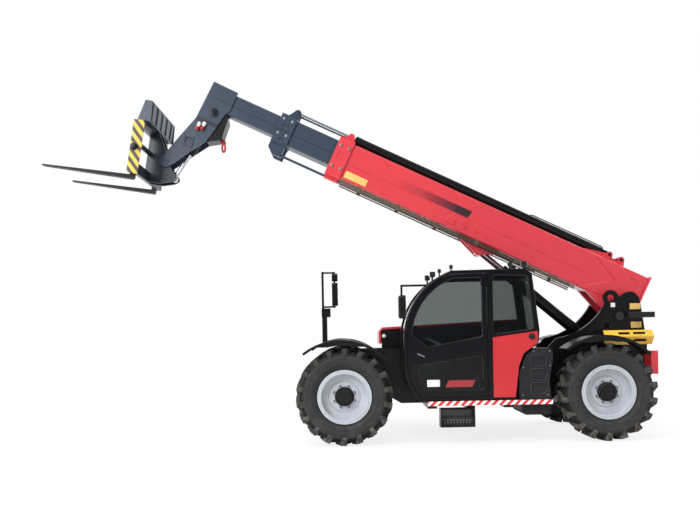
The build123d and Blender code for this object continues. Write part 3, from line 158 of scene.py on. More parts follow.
def finish(name, base, rough, metal=0.0, dust=0.3, mottle=0.06, peel=400.0, depth=0.04, coat=0.0,
           shine=0.5, patch=9.0):
    """Material of one finish: the dusty face group feeds colour, roughness and a small bump.
    """
    material, tree, shader = new_material(name)
    face = add_node(tree, "ShaderNodeGroup", node_tree=dusty_face, Base=base, Dust_Amount=dust,
                    Roughness=rough, Mottle=mottle, Peel=peel, Patch=patch).outputs
    bump = add_node(tree, "ShaderNodeBump", Height=face["Height"], Strength=depth, Distance=BUMP_DEPTH)
    fill(tree, shader, Base_Color=face["Color"], Roughness=face["Roughness"], Normal=bump.outputs["Normal"],
         Metallic=metal, Coat_Weight=coat, Specular_IOR_Level=shine)
    return material


def paint(material, *names):
    """Give CAD nodes a material."""
    for name in names:
        nodes[name].data.materials.clear()
        nodes[name].data.materials.append(material)


black_paint = finish("satin_black_paint", BLACK, 0.30, dust=0.07, shine=0.22)
paint(black_paint, "side_plates", "cross_members", "fenders", "step", "engine_tub", "mirrors")

# Axles, knuckles, engine and pivot pin: rough grey castings and forgings under a dull dark primer.
CAST = (0.018, 0.018, 0.020, 1.0)
cast_iron = finish("dark_castings", CAST, 0.62, metal=0.3, dust=0.6, mottle=0.15, peel=180.0, depth=0.25)
paint(cast_iron, "axles", "pivot_pin", "engine_block", *["knuckle_" + corner for corner, _, _ in WHEELS])

# Counterweight, hood and lower rear cab panel: bright red two-pack gloss, duller on the panel.
RED = (0.58, 0.030, 0.040, 1.0)
PANEL_RED = (0.50, 0.026, 0.032, 1.0)
red_paint = finish("red_gloss_paint", RED, 0.28, dust=0.12, mottle=0.04, coat=0.25, shine=0.4)
paint(red_paint, "counterweight", "engine_hood")
panel_paint = finish("panel_red_paint", PANEL_RED, 0.34, dust=0.12, mottle=0.04, shine=0.25)
paint(panel_paint, "quarter_panel")

# Boom outer section: the same gloss. A dark band on each flank thins to fine lines towards the front, with
# nothing printed on it. Places on the boom are measured along it and square to it from its pivot.
BOOM_RED = (0.60, 0.043, 0.056, 1.0)
BAND = (0.036, 0.015, 0.020, 1.0)
BAND_LEAN = 0.24
BAND_LONG = (2.60, 3.72)
BAND_TALL = (0.405, 0.515)
BAND_SOLID = (2.70, 3.25)
BAND_LINED = (3.10, 3.65)
LINE_PITCH = 0.022
LINE_SPAN = (0.002, 0.013)
LINE_FADE = (0.9, 0.1)
BOOM_ANGLE = np.radians(25.5)
SHIFT = 0.153399
BOOM_PIVOT = Vector((-3.884 + SHIFT, 0.0, 1.640))


def along_boom(tree):
    """Object place turned into distance along the boom, across it and square to it, from the pivot."""
    where = add_node(tree, "ShaderNodeTexCoord").outputs["Object"]
    turned = add_node(tree, "ShaderNodeMapping", vector_type="TEXTURE", Vector=where, Location=BOOM_PIVOT,
                      Rotation=(0.0, -BOOM_ANGLE, 0.0))
    return add_node(tree, "ShaderNodeSeparateXYZ", turned.outputs["Vector"]).outputs


def between(tree, value, low, high, soft=0.002):
    """Mask that is one where a value lies between two limits."""
    rise = ramp(tree, value, (low - soft, low + soft))
    fall = ramp(tree, value, (high - soft, high + soft), (1.0, 0.0))
    return add_math(tree, "MULTIPLY", rise, fall)


def stripes(tree, value, pitch, low, high):
    """Mask of even stripes: one where a value, wrapped at a pitch, lies between two limits."""
    wrapped = add_math(tree, "WRAP", value, pitch, 0.0)
    return between(tree, wrapped, low, high, soft=0.001)


def overlay(material, mask, colour):
    """Lay a colour over the material's base colour where the mask is one."""
    tree = material.node_tree
    target = tree.nodes["Principled BSDF"].inputs["Base Color"]
    before = target.links[0].from_socket
    tree.links.new(blend(tree, mask, before, colour), target)


boom_paint = finish("boom_red_paint", BOOM_RED, 0.28, dust=0.12, mottle=0.04, coat=0.25, shine=0.4)
tree = boom_paint.node_tree
place = along_boom(tree)
lean = add_math(tree, "MULTIPLY_ADD", place["Z"], BAND_LEAN, place["X"])
long_mask = between(tree, lean, *BAND_LONG)
tall_mask = between(tree, place["Z"], *BAND_TALL)
line_mask = stripes(tree, place["Z"], LINE_PITCH, *LINE_SPAN)
solid_part = ramp(tree, place["X"], BAND_SOLID, (1.0, 0.0))
lined_part = ramp(tree, place["X"], BAND_LINED, LINE_FADE)
lines = add_math(tree, "MULTIPLY", line_mask, lined_part)
strength = add_math(tree, "MAXIMUM", lines, solid_part)
outline_mask = add_math(tree, "MULTIPLY", long_mask, tall_mask)
overlay(boom_paint, add_math(tree, "MULTIPLY", outline_mask, strength), BAND)
paint(boom_paint, "outer_boom")

# Middle and inner boom sections with the head, and the backrest: blue-black satin paint.
# The two sections are folded from plate, and a line of painted shade runs along each fold. The head's cheeks
# are joggled above the couplers, and the shade of that step is painted as a dark strip.
SLATE = (0.026, 0.040, 0.064, 1.0)
FOLD_SHADE = (0.008, 0.012, 0.019, 1.0)
FOLD_HALF = 0.0045
JOGGLE_SHADE_TALL = (0.095, 0.150)
JOGGLE_SHADE_LONG = (6.22, 6.75)
slate_paint = finish("slate_satin_paint", SLATE, 0.32, dust=0.1, shine=0.4)
paint(slate_paint, "backrest")


def slate_paint_with_fold_shade(section_name, fold_at):
    """Slate paint of a boom section with a line of painted shade along its fold. Gives the material and the
    place along the boom.
    """
    material = finish(section_name + "_slate_paint_fold_shade", SLATE, 0.32, dust=0.1, shine=0.4)
    tree = material.node_tree
    place = along_boom(tree)
    # Painted shade: a thin dark line along the plate's fold.
    fold_shade_mask = between(tree, place["Z"], fold_at - FOLD_HALF, fold_at + FOLD_HALF, soft=0.001)
    overlay(material, fold_shade_mask, FOLD_SHADE)
    paint(material, section_name)
    return material, place


slate_paint_with_fold_shade("mid_boom", 0.455)
inner_shaded_paint, place = slate_paint_with_fold_shade("inner_boom", 0.480)
tree = inner_shaded_paint.node_tree
# Painted shade: a dark strip across the cheeks where the head plates are joggled.
joggle_shade_tall = between(tree, place["Z"], *JOGGLE_SHADE_TALL, soft=0.012)
joggle_shade_long = between(tree, place["X"], *JOGGLE_SHADE_LONG)
overlay(inner_shaded_paint, add_math(tree, "MULTIPLY", joggle_shade_tall, joggle_shade_long), FOLD_SHADE)

# Carriage frame: a darker slate paint, with hazard stripes on its two end plates.
HAZARD_YELLOW = (0.78, 0.42, 0.015, 1.0)
HAZARD_BLACK = (0.012, 0.012, 0.012, 1.0)
STRIPE_PITCH = 0.170
STRIPE_LEAN = -1.5
CARRIAGE_HALF = 0.700
END_PLATE = 0.0205
FACE_REACH = 0.01
CARRIAGE_SLATE = (0.011, 0.016, 0.025, 1.0)


def object_axes(tree):
    """X, Y and Z of the place on the object."""
    where = add_node(tree, "ShaderNodeTexCoord").outputs["Object"]
    return add_node(tree, "ShaderNodeSeparateXYZ", where).outputs


def striped(material, plate_mask, slant, pitch, ground, stripe):
    """Even stripes of two colours over the part of a material where the mask is one."""
    tree = material.node_tree
    stripe_mask = stripes(tree, slant, pitch, 0.0, pitch / 2)
    overlay(material, plate_mask, ground)
    overlay(material, add_math(tree, "MULTIPLY", plate_mask, stripe_mask), stripe)


carriage_paint = finish("slate_carriage_paint", CARRIAGE_SLATE, 0.32, dust=0.1, shine=0.4)
tree = carriage_paint.node_tree
place = object_axes(tree)
away = add_math(tree, "ABSOLUTE", place["Y"])
end_mask = between(tree, away, CARRIAGE_HALF - END_PLATE, CARRIAGE_HALF + FACE_REACH, soft=0.0003)
slant = add_math(tree, "MULTIPLY_ADD", place["X"], STRIPE_LEAN, place["Z"])
striped(carriage_paint, end_mask, slant, STRIPE_PITCH, HAZARD_YELLOW, HAZARD_BLACK)
paint(carriage_paint, "carriage")

# Forks: forged steel in thin black paint that the loads have begun to polish.
FORK_BLACK = (0.005, 0.005, 0.006, 1.0)
fork_paint = finish("fork_black_paint", FORK_BLACK, 0.42, dust=0.0, mottle=0.2, depth=0.1, shine=0.15)
paint(fork_paint, "forks")

# Hydraulic cylinders: black barrels, and hard chrome rods.
CHROME = (0.58, 0.59, 0.61, 1.0)
chrome = finish("rod_chrome", CHROME, 0.12, metal=1.0, dust=0.0, mottle=0.02, depth=0.0)
paint(chrome, "extend_rod", "lift_rod", "tilt_rod")
paint(black_paint, "extend_barrel", "lift_barrel", "tilt_barrel")

# Pipes under the boom: zinc-plated steel tube, faintly gold.
ZINC = (0.17, 0.145, 0.10, 1.0)
zinc_pipe = finish("zinc_plated_pipe", ZINC, 0.38, metal=0.85, dust=0.2, mottle=0.15)
paint(zinc_pipe, "boom_pipes")

# Cab shell and door: rolled and pressed steel frames in semi-gloss black.
CAB_BLACK = (0.003, 0.003, 0.004, 1.0)
cab_paint = finish("cab_black_paint", CAB_BLACK, 0.22, dust=0.02, shine=0.18)
paint(cab_paint, "cab_roof", "cab_floor", "cab_front", "cab_rear", "cab_left_side", "cab_right_side", "door")

# Cab glass: tempered panes with a grey-green tint, darkest in the lower half of the door.
# Lamps shine through them into the cab.
CAB_PANE = (0.30, 0.32, 0.31, 1.0)
DOOR_PANE = (0.45, 0.48, 0.47, 1.0)
LOW_PANE = (0.10, 0.12, 0.12, 1.0)
PANE_SHADE = (0.66, 0.69, 0.68, 1.0)
PANE_SPLIT = 1.20
PANE_IOR = 1.30


def glass(name, tint, low_tint):
    """Pane of clear glass with one tint above a height and another below it, open to lamps and soft light."""
    material, tree, shader = new_material(name)
    above = add_math(tree, "GREATER_THAN", object_axes(tree)["Z"], PANE_SPLIT)
    tone = blend(tree, above, low_tint, tint)
    fill(tree, shader, Base_Color=tone, Roughness=0.02, IOR=PANE_IOR, Transmission_Weight=1.0)
    shade = add_node(tree, "ShaderNodeBsdfTransparent", Color=PANE_SHADE)
    ray = add_node(tree, "ShaderNodeLightPath").outputs
    let_in = add_math(tree, "MAXIMUM", ray["Is Shadow Ray"], ray["Is Diffuse Ray"])
    mixed = add_node(tree, "ShaderNodeMixShader", let_in, shader.outputs[0], shade.outputs[0])
    tree.links.new(mixed.outputs[0], tree.nodes["Material Output"].inputs["Surface"])
    return material


paint(glass("tinted_cab_glass", CAB_PANE, CAB_PANE), "cab_glass")
paint(glass("tinted_door_glass", DOOR_PANE, LOW_PANE), "door_glass")

# Locker and tank: moulded black plastic with a fine pebble grain. The console is the same in grey.
PLASTIC = (0.008, 0.008, 0.010, 1.0)
CONSOLE_GREY = (0.085, 0.100, 0.100, 1.0)
black_plastic = finish("grained_black_plastic", PLASTIC, 0.5, dust=0.1, peel=900.0,
                       depth=0.2, shine=0.3)
paint(black_plastic, "side_locker", "belly_tank")
console_plastic = finish("console_grey_plastic", CONSOLE_GREY, 0.5, dust=0.05, peel=900.0, depth=0.2)
paint(console_plastic, "steering_console")

# Rear guards: slotted yellow sheet steel.
GUARD_YELLOW = (0.80, 0.44, 0.02, 1.0)
yellow_paint = finish("guard_yellow_paint", GUARD_YELLOW, 0.35, dust=0.25, coat=0.2)
paint(yellow_paint, "rear_guards")

# Lamps: black housings.
LAMP_BLACK = (0.010, 0.010, 0.011, 1.0)
lamp_plastic = finish("lamp_black_plastic", LAMP_BLACK, 0.3, dust=0.1, peel=700.0, shine=0.35)
paint(lamp_plastic, "lamps")

# Sill under the door: black sheet with a strip of red and white slanted reflective tape.
TAPE_RED = (0.62, 0.02, 0.02, 1.0)
TAPE_WHITE = (0.80, 0.80, 0.78, 1.0)
TAPE_PITCH = 0.100
TAPE_DEPTH = 0.001
sill_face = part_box("sill")[1].y
sill_paint = finish("sill_black_paint", BLACK, 0.34, dust=0.2, shine=0.32)
tree = sill_paint.node_tree
place = object_axes(tree)
face_mask = between(tree, place["Y"], sill_face - TAPE_DEPTH, sill_face + FACE_REACH, soft=0.0004)
slant = add_math(tree, "ADD", place["X"], place["Z"])
striped(sill_paint, face_mask, slant, TAPE_PITCH, TAPE_WHITE, TAPE_RED)
paint(sill_paint, "sill")

# Rims: pressed steel wheels in pale silver paint, with the hub reducer in black at the centre.
# Two shaded lines show where the flange ring and its lock ring meet the rim.
SILVER = (0.50, 0.525, 0.565, 1.0)
HUB_RADIUS = 0.128
RIM_STEPS = (0.318, 0.337)
STEP_HALF = 0.002
STEP_SHADE = (0.17, 0.18, 0.20, 1.0)
AXLE_HEIGHT = 0.63795
WHEEL_X = {"front": SHIFT, "rear": SHIFT - 3.450}


def from_axle(tree, wheel_x):
    """Distance from the line of a wheel's axle."""
    kind = "ShaderNodeVectorMath"
    centre = (wheel_x, 0.0, AXLE_HEIGHT)
    where = add_node(tree, "ShaderNodeTexCoord").outputs["Object"]
    offset = add_node(tree, kind, where, centre, operation="SUBTRACT").outputs[0]
    flat = add_node(tree, kind, offset, (1.0, 0.0, 1.0), operation="MULTIPLY").outputs[0]
    return add_node(tree, kind, flat, operation="LENGTH").outputs["Value"]


for end, wheel_x in WHEEL_X.items():
    rim_paint = finish(end + "_rim_silver_paint", SILVER, 0.38, metal=0.15, dust=0.25)
    tree = rim_paint.node_tree
    reach = from_axle(tree, wheel_x)
    overlay(rim_paint, between(tree, reach, -1.0, HUB_RADIUS, soft=0.0005), BLACK)
    for line_at in RIM_STEPS:
        step_mask = between(tree, reach, line_at - STEP_HALF, line_at + STEP_HALF, soft=0.001)
        overlay(rim_paint, step_mask, STEP_SHADE)
    paint(rim_paint, "rim_" + end + "_left", "rim_" + end + "_right")

# Tyres: bias-ply traction tyres, moulded rubber with eighteen slanted lugs on each half.
# The lugs stand on a round casing, chamfered along their edges, and run down over the shoulders.
# The casing is painted darker beyond a radius near the lugs' root, as painted shade in the grooves between
# them.
RUBBER = (0.022, 0.022, 0.022, 1.0)
TREAD = (0.026, 0.025, 0.023, 1.0)
GROOVE_SHADE = (0.005, 0.005, 0.005, 1.0)
GROOVE_FOOT = 0.540
WHEEL_Y = 1.038
LUGS = 18
LUG_PITCH = 2 * np.pi / LUGS
LUG_TOP = 0.6378
LUG_INNER = 0.008
LUG_RUN = 0.184
AROUND = 108
HALF_SECTION = np.array([
    (0.0, 0.600), (0.10, 0.597), (0.150, 0.588), (0.172, 0.562), (0.186, 0.540), (0.1955, 0.515),
    (0.1970, 0.490), (0.193, 0.440), (0.184, 0.408), (0.172, 0.396), (0.163, 0.392), (0.160, 0.374),
    (0.143, 0.366), (0.142, 0.322)])
LUG_ALONG = np.array([0.004, 0.010, 0.050, 0.100, 0.150, 0.180, 0.190, 0.1955, 0.1970, 0.1915])
LUG_CREST = np.array([0.590, LUG_TOP, LUG_TOP, LUG_TOP - 0.0005, LUG_TOP - 0.001, LUG_TOP - 0.003, 0.629,
                      0.590, 0.542, 0.520])
ROOT_ALONG = np.array([0.004, 0.010, 0.050, 0.100, 0.138, 0.148, 0.158, 0.170, 0.183, 0.1915])
LUG_ROOT = np.array([0.590, 0.592, 0.592, 0.590, 0.585, 0.575, 0.562, 0.550, 0.533, 0.520])
LUG_ACROSS = np.array([-1.12, -0.90, -0.80, 0.80, 0.90, 1.12])[:, None]
LUG_RISE = np.array([0.0, 0.93, 1.0, 1.0, 0.93, 0.0])[:, None]


def skin(name, grids, material, body, wrap_rows=False, wrap_columns=False, smooth=40.0):
    """Object over grids of points, shape (pieces, rows, columns, 3), a face between each four neighbours.

    Rows or columns may close on themselves. Points that meet are merged and faces turned outward.
    """
    pieces, rows, columns, _ = grids.shape
    index = np.arange(pieces * rows * columns).reshape(pieces, rows, columns)
    if wrap_rows:
        index = np.concatenate([index, index[:, :1]], axis=1)
    if wrap_columns:
        index = np.concatenate([index, index[:, :, :1]], axis=2)
    corners = [index[:, :-1, :-1], index[:, 1:, :-1], index[:, 1:, 1:], index[:, :-1, 1:]]
    quads = np.stack(corners, axis=-1).reshape(-1, 4)
    mesh = bpy.data.meshes.new(name)
    mesh.from_pydata(grids.reshape(-1, 3).tolist(), [], quads.tolist())
    shell = bmesh.new()
    shell.from_mesh(mesh)
    bmesh.ops.remove_doubles(shell, verts=shell.verts, dist=1e-6)
    bmesh.ops.dissolve_degenerate(shell, edges=shell.edges, dist=1e-7)
    bmesh.ops.recalc_face_normals(shell, faces=shell.faces)
    shell.to_mesh(mesh)
    shell.free()
    mesh.polygons.foreach_set("use_smooth", np.ones(len(mesh.polygons), dtype=bool))
    mesh.set_sharp_from_angle(angle=np.radians(smooth))
    mesh.materials.append(material)
    piece = bpy.data.objects.new(name, mesh)
    bpy.context.scene.collection.objects.link(piece)
    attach(piece, body)
    return piece


def corner_cut(points, passes=2):
    """Closed outline smoothed by cutting each corner at a quarter of its sides."""
    for _ in range(passes):
        following = np.roll(points, -1, axis=0)
        points = np.stack([0.75 * points + 0.25 * following, 0.25 * points + 0.75 * following], axis=1)
        points = points.reshape(-1, points.shape[-1])
    return points


def around_axle(angle, radius, across, wheel_x, side):
    """Points at an angle from the top, a radius and a distance across from the tyre's middle."""
    x = wheel_x + radius * np.sin(angle)
    z = AXLE_HEIGHT + radius * np.cos(angle)
    y = side * (WHEEL_Y + across)
    return np.stack(np.broadcast_arrays(x, y, z), axis=-1)


groove_shaded_rubber = {}
for end, wheel_x in WHEEL_X.items():
    wall_rubber = finish(end + "_tyre_wall_rubber_groove_shade", RUBBER, 0.72, dust=0.14, mottle=0.10,
                         peel=260.0, depth=0.2, shine=0.3, patch=11.0)
    tree = wall_rubber.node_tree
    # Painted shade: the casing beyond that radius, between the lugs, is darkened.
    groove_shade_mask = between(tree, from_axle(tree, wheel_x), GROOVE_FOOT, 1.0, soft=0.010)
    overlay(wall_rubber, groove_shade_mask, GROOVE_SHADE)
    groove_shaded_rubber[end] = wall_rubber
tread_rubber = finish("dusty_tread_rubber", TREAD, 0.85, dust=0.7, mottle=0.15, peel=200.0,
                      depth=0.3, shine=0.25, patch=13.0)
section = corner_cut(np.concatenate([HALF_SECTION, HALF_SECTION[:0:-1] * (-1.0, 1.0)]))
full_turn = np.linspace(0.0, 2 * np.pi, AROUND, endpoint=False)
slide = np.clip((LUG_ALONG - LUG_INNER) / LUG_RUN, 0.0, 1.0)
lug_middle = (-0.054 + 0.099 * slide) / LUG_TOP
lug_half = (0.028 + 0.011 * slide) / LUG_TOP
lug_start = (np.arange(LUGS) - 0.25)[:, None, None] * LUG_PITCH
lug_angle = lug_start + lug_middle + lug_half * LUG_ACROSS
lug_radius = LUG_ROOT + (LUG_CREST - LUG_ROOT) * LUG_RISE
lug_place = ROOT_ALONG + (LUG_ALONG - ROOT_ALONG) * LUG_RISE
for corner, end, side in WHEELS:
    wheel_x = WHEEL_X[end]
    body = "wheel_" + corner
    casing = around_axle(full_turn[:, None], section[:, 1], section[:, 0], wheel_x, side)
    tyre = skin("tyre_casing_" + corner, casing[None], groove_shaded_rubber[end], body, wrap_rows=True,
                wrap_columns=True)
    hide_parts("tyre_" + corner)
    outer_half = around_axle(lug_angle, lug_radius, lug_place, wheel_x, side)
    inner_half = around_axle(lug_angle + LUG_PITCH / 2, lug_radius, -lug_place, wheel_x, side)
    lugs = np.concatenate([outer_half, inner_half])
    skin("tyre_lugs_" + corner, lugs, tread_rubber, body, wrap_rows=True, smooth=25.0)

# Hubs: an eight-sided black cover over each hub reducer, bolted on, with bright wheel nuts round it and a
# valve in the rim.
HUB_FACE = 0.1425
HUB_FOOT = 0.062
HUB_CORNER = 0.124
HUB_EDGE = 0.014
HUB_BOLT_CIRCLE = 0.088
NUT_CIRCLE = 0.1440
NUT_FOOT = 0.058
VALVE_OUT = 0.10
VALVE_UP = 0.285
STEEL = (0.20, 0.20, 0.20, 1.0)
UP = (0.0, 0.0, 1.0)


def ring(count, radius=1.0, phase=0.0):
    """Corners of a regular outline."""
    angle = np.arange(count) * 2 * np.pi / count + phase
    return radius * np.stack([np.cos(angle), np.sin(angle)], axis=-1)


def upright(points, y):
    """Places on an upright plane along the machine, from pairs of X and Z."""
    return np.insert(np.asarray(points, dtype=float), 1, y, axis=-1)


def side_face(side):
    """Directions across and up a face that looks to one side of the machine."""
    return (-side, 0.0, 0.0), UP


def buttons(name, places, face, outline, steps, material, body, hollow=False):
    """Small closed pieces on a face: one outline, scaled and raised by steps, set at many places.

    Point = place + scale * (outline x along across + outline y along up) + height * (across x up).
    Hollow pieces are frames whose last step joins the first.
    """
    across, up = [np.asarray(way, dtype=float) / np.linalg.norm(way) for way in face]
    out = np.cross(across, up)
    scale, height = np.asarray(steps, dtype=float).T
    flat = outline[:, :1] * across + outline[:, 1:] * up
    shape = scale[:, None, None] * flat[None] + height[:, None, None] * out
    grids = np.asarray(places, dtype=float)[:, None, None, :] + shape[None]
    return skin(name, grids, material, body, wrap_rows=hollow, wrap_columns=True, smooth=30.0)


def raised(high, edge=0.1, low=0.0):
    """Steps of a solid with a chamfered top: closed foot, upright side, chamfer, closed top."""
    return [(0.0, low), (1.0, low), (1.0, high * 0.8), (1.0 - edge, high), (0.0, high)]


BOLT = ring(6, 0.0125)
NUT = ring(6, 0.0195)
bolt_steel = finish("zinc_bolt_heads", STEEL, 0.4, metal=0.8, dust=0.1)
hub_steps = raised(HUB_FACE, 0.12, HUB_FOOT)
hub_steps[2] = (1.0, HUB_FACE - HUB_EDGE)
for corner, end, side in WHEELS:
    body = "wheel_" + corner
    middle = np.array([WHEEL_X[end], side * WHEEL_Y, AXLE_HEIGHT])
    face = side_face(side)
    buttons("hub_cover_" + corner, [middle], face, ring(8, HUB_CORNER), hub_steps, black_paint, body)
    places = middle + upright(ring(8, HUB_BOLT_CIRCLE, np.pi / 8), side * HUB_FACE)
    buttons("hub_bolts_" + corner, places, face, BOLT, raised(0.009), black_paint, body)
    places = middle + upright(ring(8, NUT_CIRCLE, np.pi / 8), side * NUT_FOOT)
    buttons("wheel_nuts_" + corner, places, face, NUT, raised(0.033, 0.3), bolt_steel, body)
    valve = middle + (0.0, side * VALVE_OUT, VALVE_UP)
    buttons("valve_" + corner, [valve], face, ring(10, 0.008), raised(0.035), bolt_steel, body)

# Boom outer section fittings: socket bolts that hold the wear pads in the collar, plug welds and a fold line.
# A plain yellow plate lies where the photograph shows a label.
SLOPE = np.array((np.cos(BOOM_ANGLE), 0.0, np.sin(BOOM_ANGLE)))
SQUARE = np.array((-np.sin(BOOM_ANGLE), 0.0, np.cos(BOOM_ANGLE)))
STRIP = np.array([(-1.0, -1.0), (1.0, -1.0), (1.0, 1.0), (-1.0, 1.0)])
FLANK = 0.190
PLATE_FLANK = 0.198
COLLAR_FLANK = 0.215
COLLAR_SPOTS = [(4.445, 0.600), (4.575, 0.600), (4.445, 0.290), (4.575, 0.290)]
PLUG_SPOTS = [(2.15, 0.265), (2.32, 0.265), (2.49, 0.265), (2.66, 0.265)]
LABEL_YELLOW = (0.70, 0.45, 0.12, 1.0)
LABEL_WHITE = (0.74, 0.74, 0.72, 1.0)


def on_boom(along, across, square):
    """Place on the boom from distances along it, across it and square to it."""
    along, across, square = np.broadcast_arrays(along, across, square)
    x = along * SLOPE[0] + square * SQUARE[0]
    z = along * SLOPE[2] + square * SQUARE[2]
    return np.array(BOOM_PIVOT) + np.stack([x, across, z], axis=-1)


def boom_face(side):
    """Directions across and up a flank of the boom."""
    return -side * SLOPE, SQUARE


def boom_fittings(name, spots, half, outline, steps, material, body):
    """The same fittings on both flanks of a boom section, at distances along and square to the boom."""
    spots = np.asarray(spots, dtype=float)
    for hand, side in SIDES:
        places = on_boom(spots[:, 0], side * half, spots[:, 1])
        buttons(name + "_" + hand, places, boom_face(side), outline, steps, material, body)


pad_bolt = raised(0.010, 0.25)
label_yellow = finish("plain_label_yellow", LABEL_YELLOW, 0.45, dust=0.05)
label_white = finish("plain_label_white", LABEL_WHITE, 0.45, dust=0.05)
outer_fittings = (
    ("collar_bolts", COLLAR_SPOTS, COLLAR_FLANK, ring(16, 0.022), pad_bolt, bolt_steel),
    ("plug_welds", PLUG_SPOTS, PLATE_FLANK, ring(20, 0.032), raised(0.008, 0.25), red_paint),
    ("outer_fold_line", [(2.49, 0.395)], FLANK, STRIP * (1.90, 0.0035), raised(0.003, 0.02), red_paint),
    ("boom_label", [(4.190, 0.255)], FLANK, STRIP * (0.170, 0.050), raised(0.0015, 0.01), label_yellow),
)
for fitting in outer_fittings:
    boom_fittings(*fitting, "boom_base")

# Extension cylinder's foot: black pin ends in the two pairs of ears on the boom, and saddle plates that join
# the ears and run forward beside the cylinder.
EAR_SPOTS = [(0.408, 0.792), (0.222, 0.792)]
EAR_FLANK = 0.075
SADDLE_FLANK = 0.073
SADDLE_MIDDLE = np.array((0.400, 0.740))
SADDLE = np.array([(0.150, 0.718), (0.780, 0.718), (0.780, 0.730), (0.480, 0.790), (0.440, 0.790),
                   (0.360, 0.762), (0.275, 0.762), (0.240, 0.790), (0.190, 0.790)])
boom_fittings("ear_pins", EAR_SPOTS, EAR_FLANK, ring(20, 0.023), raised(0.006, 0.2), black_paint, "boom_base")
saddle_steps = raised(0.0, 0.0, -0.020)
for hand, side in SIDES:
    place = on_boom(SADDLE_MIDDLE[0], side * SADDLE_FLANK, SADDLE_MIDDLE[1])
    outline = (SADDLE - SADDLE_MIDDLE) * (-side, 1.0)
    buttons("ear_saddle_" + hand, [place], boom_face(side), outline, saddle_steps, red_paint, "boom_base")

# Barrel guard: a black round bar bent over the extension cylinder's barrel.
BEAD_SIDES = 10
SIDEWAYS = (0.0, 1.0, 0.0)
GUARD_LINE = np.array([(1.690, 0.830), (1.675, 0.857), (1.640, 0.868), (1.100, 0.868), (0.560, 0.868),
                       (0.525, 0.857), (0.510, 0.830)])


def bead(name, paths, radius, material, body, closed=False):
    """Round bars along paths, shape (pieces, points, 3), each in a plane along the machine or nearly so.

    Point = path + radius * (cosine along the path's own normal + sine sideways). Open bars end in a point at
    each end; closed ones run round to their start.
    """
    paths = np.asarray(paths, dtype=float)
    if closed:
        way = np.roll(paths, -1, axis=1) - np.roll(paths, 1, axis=1)
    else:
        way = np.gradient(paths, axis=1)
    way = way / np.linalg.norm(way, axis=-1, keepdims=True)
    beside = np.cross(SIDEWAYS, way)
    turn = np.arange(BEAD_SIDES)[:, None] * 2 * np.pi / BEAD_SIDES
    round_it = np.cos(turn) * beside[:, :, None] + np.sin(turn) * np.array(SIDEWAYS)
    bars = paths[:, :, None] + radius * round_it
    if not closed:
        first = np.repeat(paths[:, :1, None], BEAD_SIDES, axis=2)
        last = np.repeat(paths[:, -1:, None], BEAD_SIDES, axis=2)
        bars = np.concatenate([first, bars, last], axis=1)
    return skin(name, bars, material, body, wrap_rows=closed, wrap_columns=True, smooth=60.0)


bead("barrel_guard", [on_boom(GUARD_LINE[:, 0], 0.0, GUARD_LINE[:, 1])], 0.008, black_paint, "boom_base")

# Weld beads along the edges of the doubler plates on the boom flanks, and a small arched seam near the boom's
# heel. Each is a run of weld metal painted over with the boom.
WELD_PROUD = 0.002
WELD_RADIUS = 0.007
HEEL_EDGE = np.array([(0.548, 0.194), (0.548, 0.240), (0.203, 0.461), (0.400, 0.568), (0.586, 0.668)])
BELLY_EDGE = np.array([(2.785, 0.250), (2.741, 0.330), (2.400, 0.330), (2.051, 0.330), (1.850, 0.196)])
ARCH = np.array([(0.055, 0.535), (0.055, 0.585), (0.040, 0.600), (-0.045, 0.600), (-0.060, 0.585),
                 (-0.060, 0.535)])
welds = (("heel_weld", HEEL_EDGE, FLANK), ("belly_weld", BELLY_EDGE, FLANK), ("arch_seam", ARCH, PLATE_FLANK))
for name, edge, flank in welds:
    flanks = [on_boom(edge[:, 0], side * (flank + WELD_PROUD), edge[:, 1]) for _, side in SIDES]
    bead(name, flanks, WELD_RADIUS, red_paint, "boom_base")

# Tyre rings: two fine moulded ridges round each wall.
RING_AT = ((0.500, 0.1955), (0.432, 0.1915))
RING_RADIUS = 0.0045
for corner, end, side in WHEELS:
    circles = [around_axle(full_turn, radius, wall * out, WHEEL_X[end], side)
               for radius, out in RING_AT for wall in (1.0, -1.0)]
    bead("tyre_rings_" + corner, circles, RING_RADIUS, groove_shaded_rubber[end], "wheel_" + corner, closed=True)

# Boom middle section fittings: socket bolts in pale steel hold the wear pads in its collar.
MID_SPOTS = [(5.345, 0.620), (5.475, 0.620), (5.345, 0.400), (5.475, 0.400)]
MID_FLANK = 0.185
boom_fittings("mid_collar_bolts", MID_SPOTS, MID_FLANK, ring(16, 0.021), pad_bolt, bolt_steel, "boom_middle")

# Boom head fittings: two quick couplers with white bodies and red caps, a raised frame round a panel on each
# cheek, and the bolted caps of the pivot bosses.
COUPLER_WHITE = (0.70, 0.70, 0.68, 1.0)
CAP_RED = (0.30, 0.020, 0.028, 1.0)
COUPLER_AT = (6.557, 0.178, 0.010)
COUPLER_SHIFTS = (0.0, -0.075)
COUPLER_FACE = ((0.0, -1.0, 0.0), (0.89, 0.0, 0.45))
BODY_STEPS = [(0.0, 0.0), (0.9, 0.0), (0.9, 0.025), (1.0, 0.030), (1.0, 0.055), (0.8, 0.062), (0.0, 0.062)]
CAP_STEPS = [(0.0, -0.060), (0.8, -0.060), (1.05, -0.050), (1.05, -0.004), (0.9, 0.0), (0.0, 0.0)]
PANEL_STEPS = [(1.0, -0.004), (1.0, 0.010), (0.92, 0.014), (0.72, 0.014), (0.64, 0.010), (0.64, -0.004)]
PANEL_UP = np.array((0.29, 0.0, -0.957))
BOSS_AT = (6.437, 0.288)
BOSS_FLANK = 0.165
BOSS_RISE = 0.010
coupler_white = finish("coupler_white_body", COUPLER_WHITE, 0.4, dust=0.05)
cap_red = finish("coupler_red_cap", CAP_RED, 0.4, dust=0.05)
disc = ring(20, 0.026)
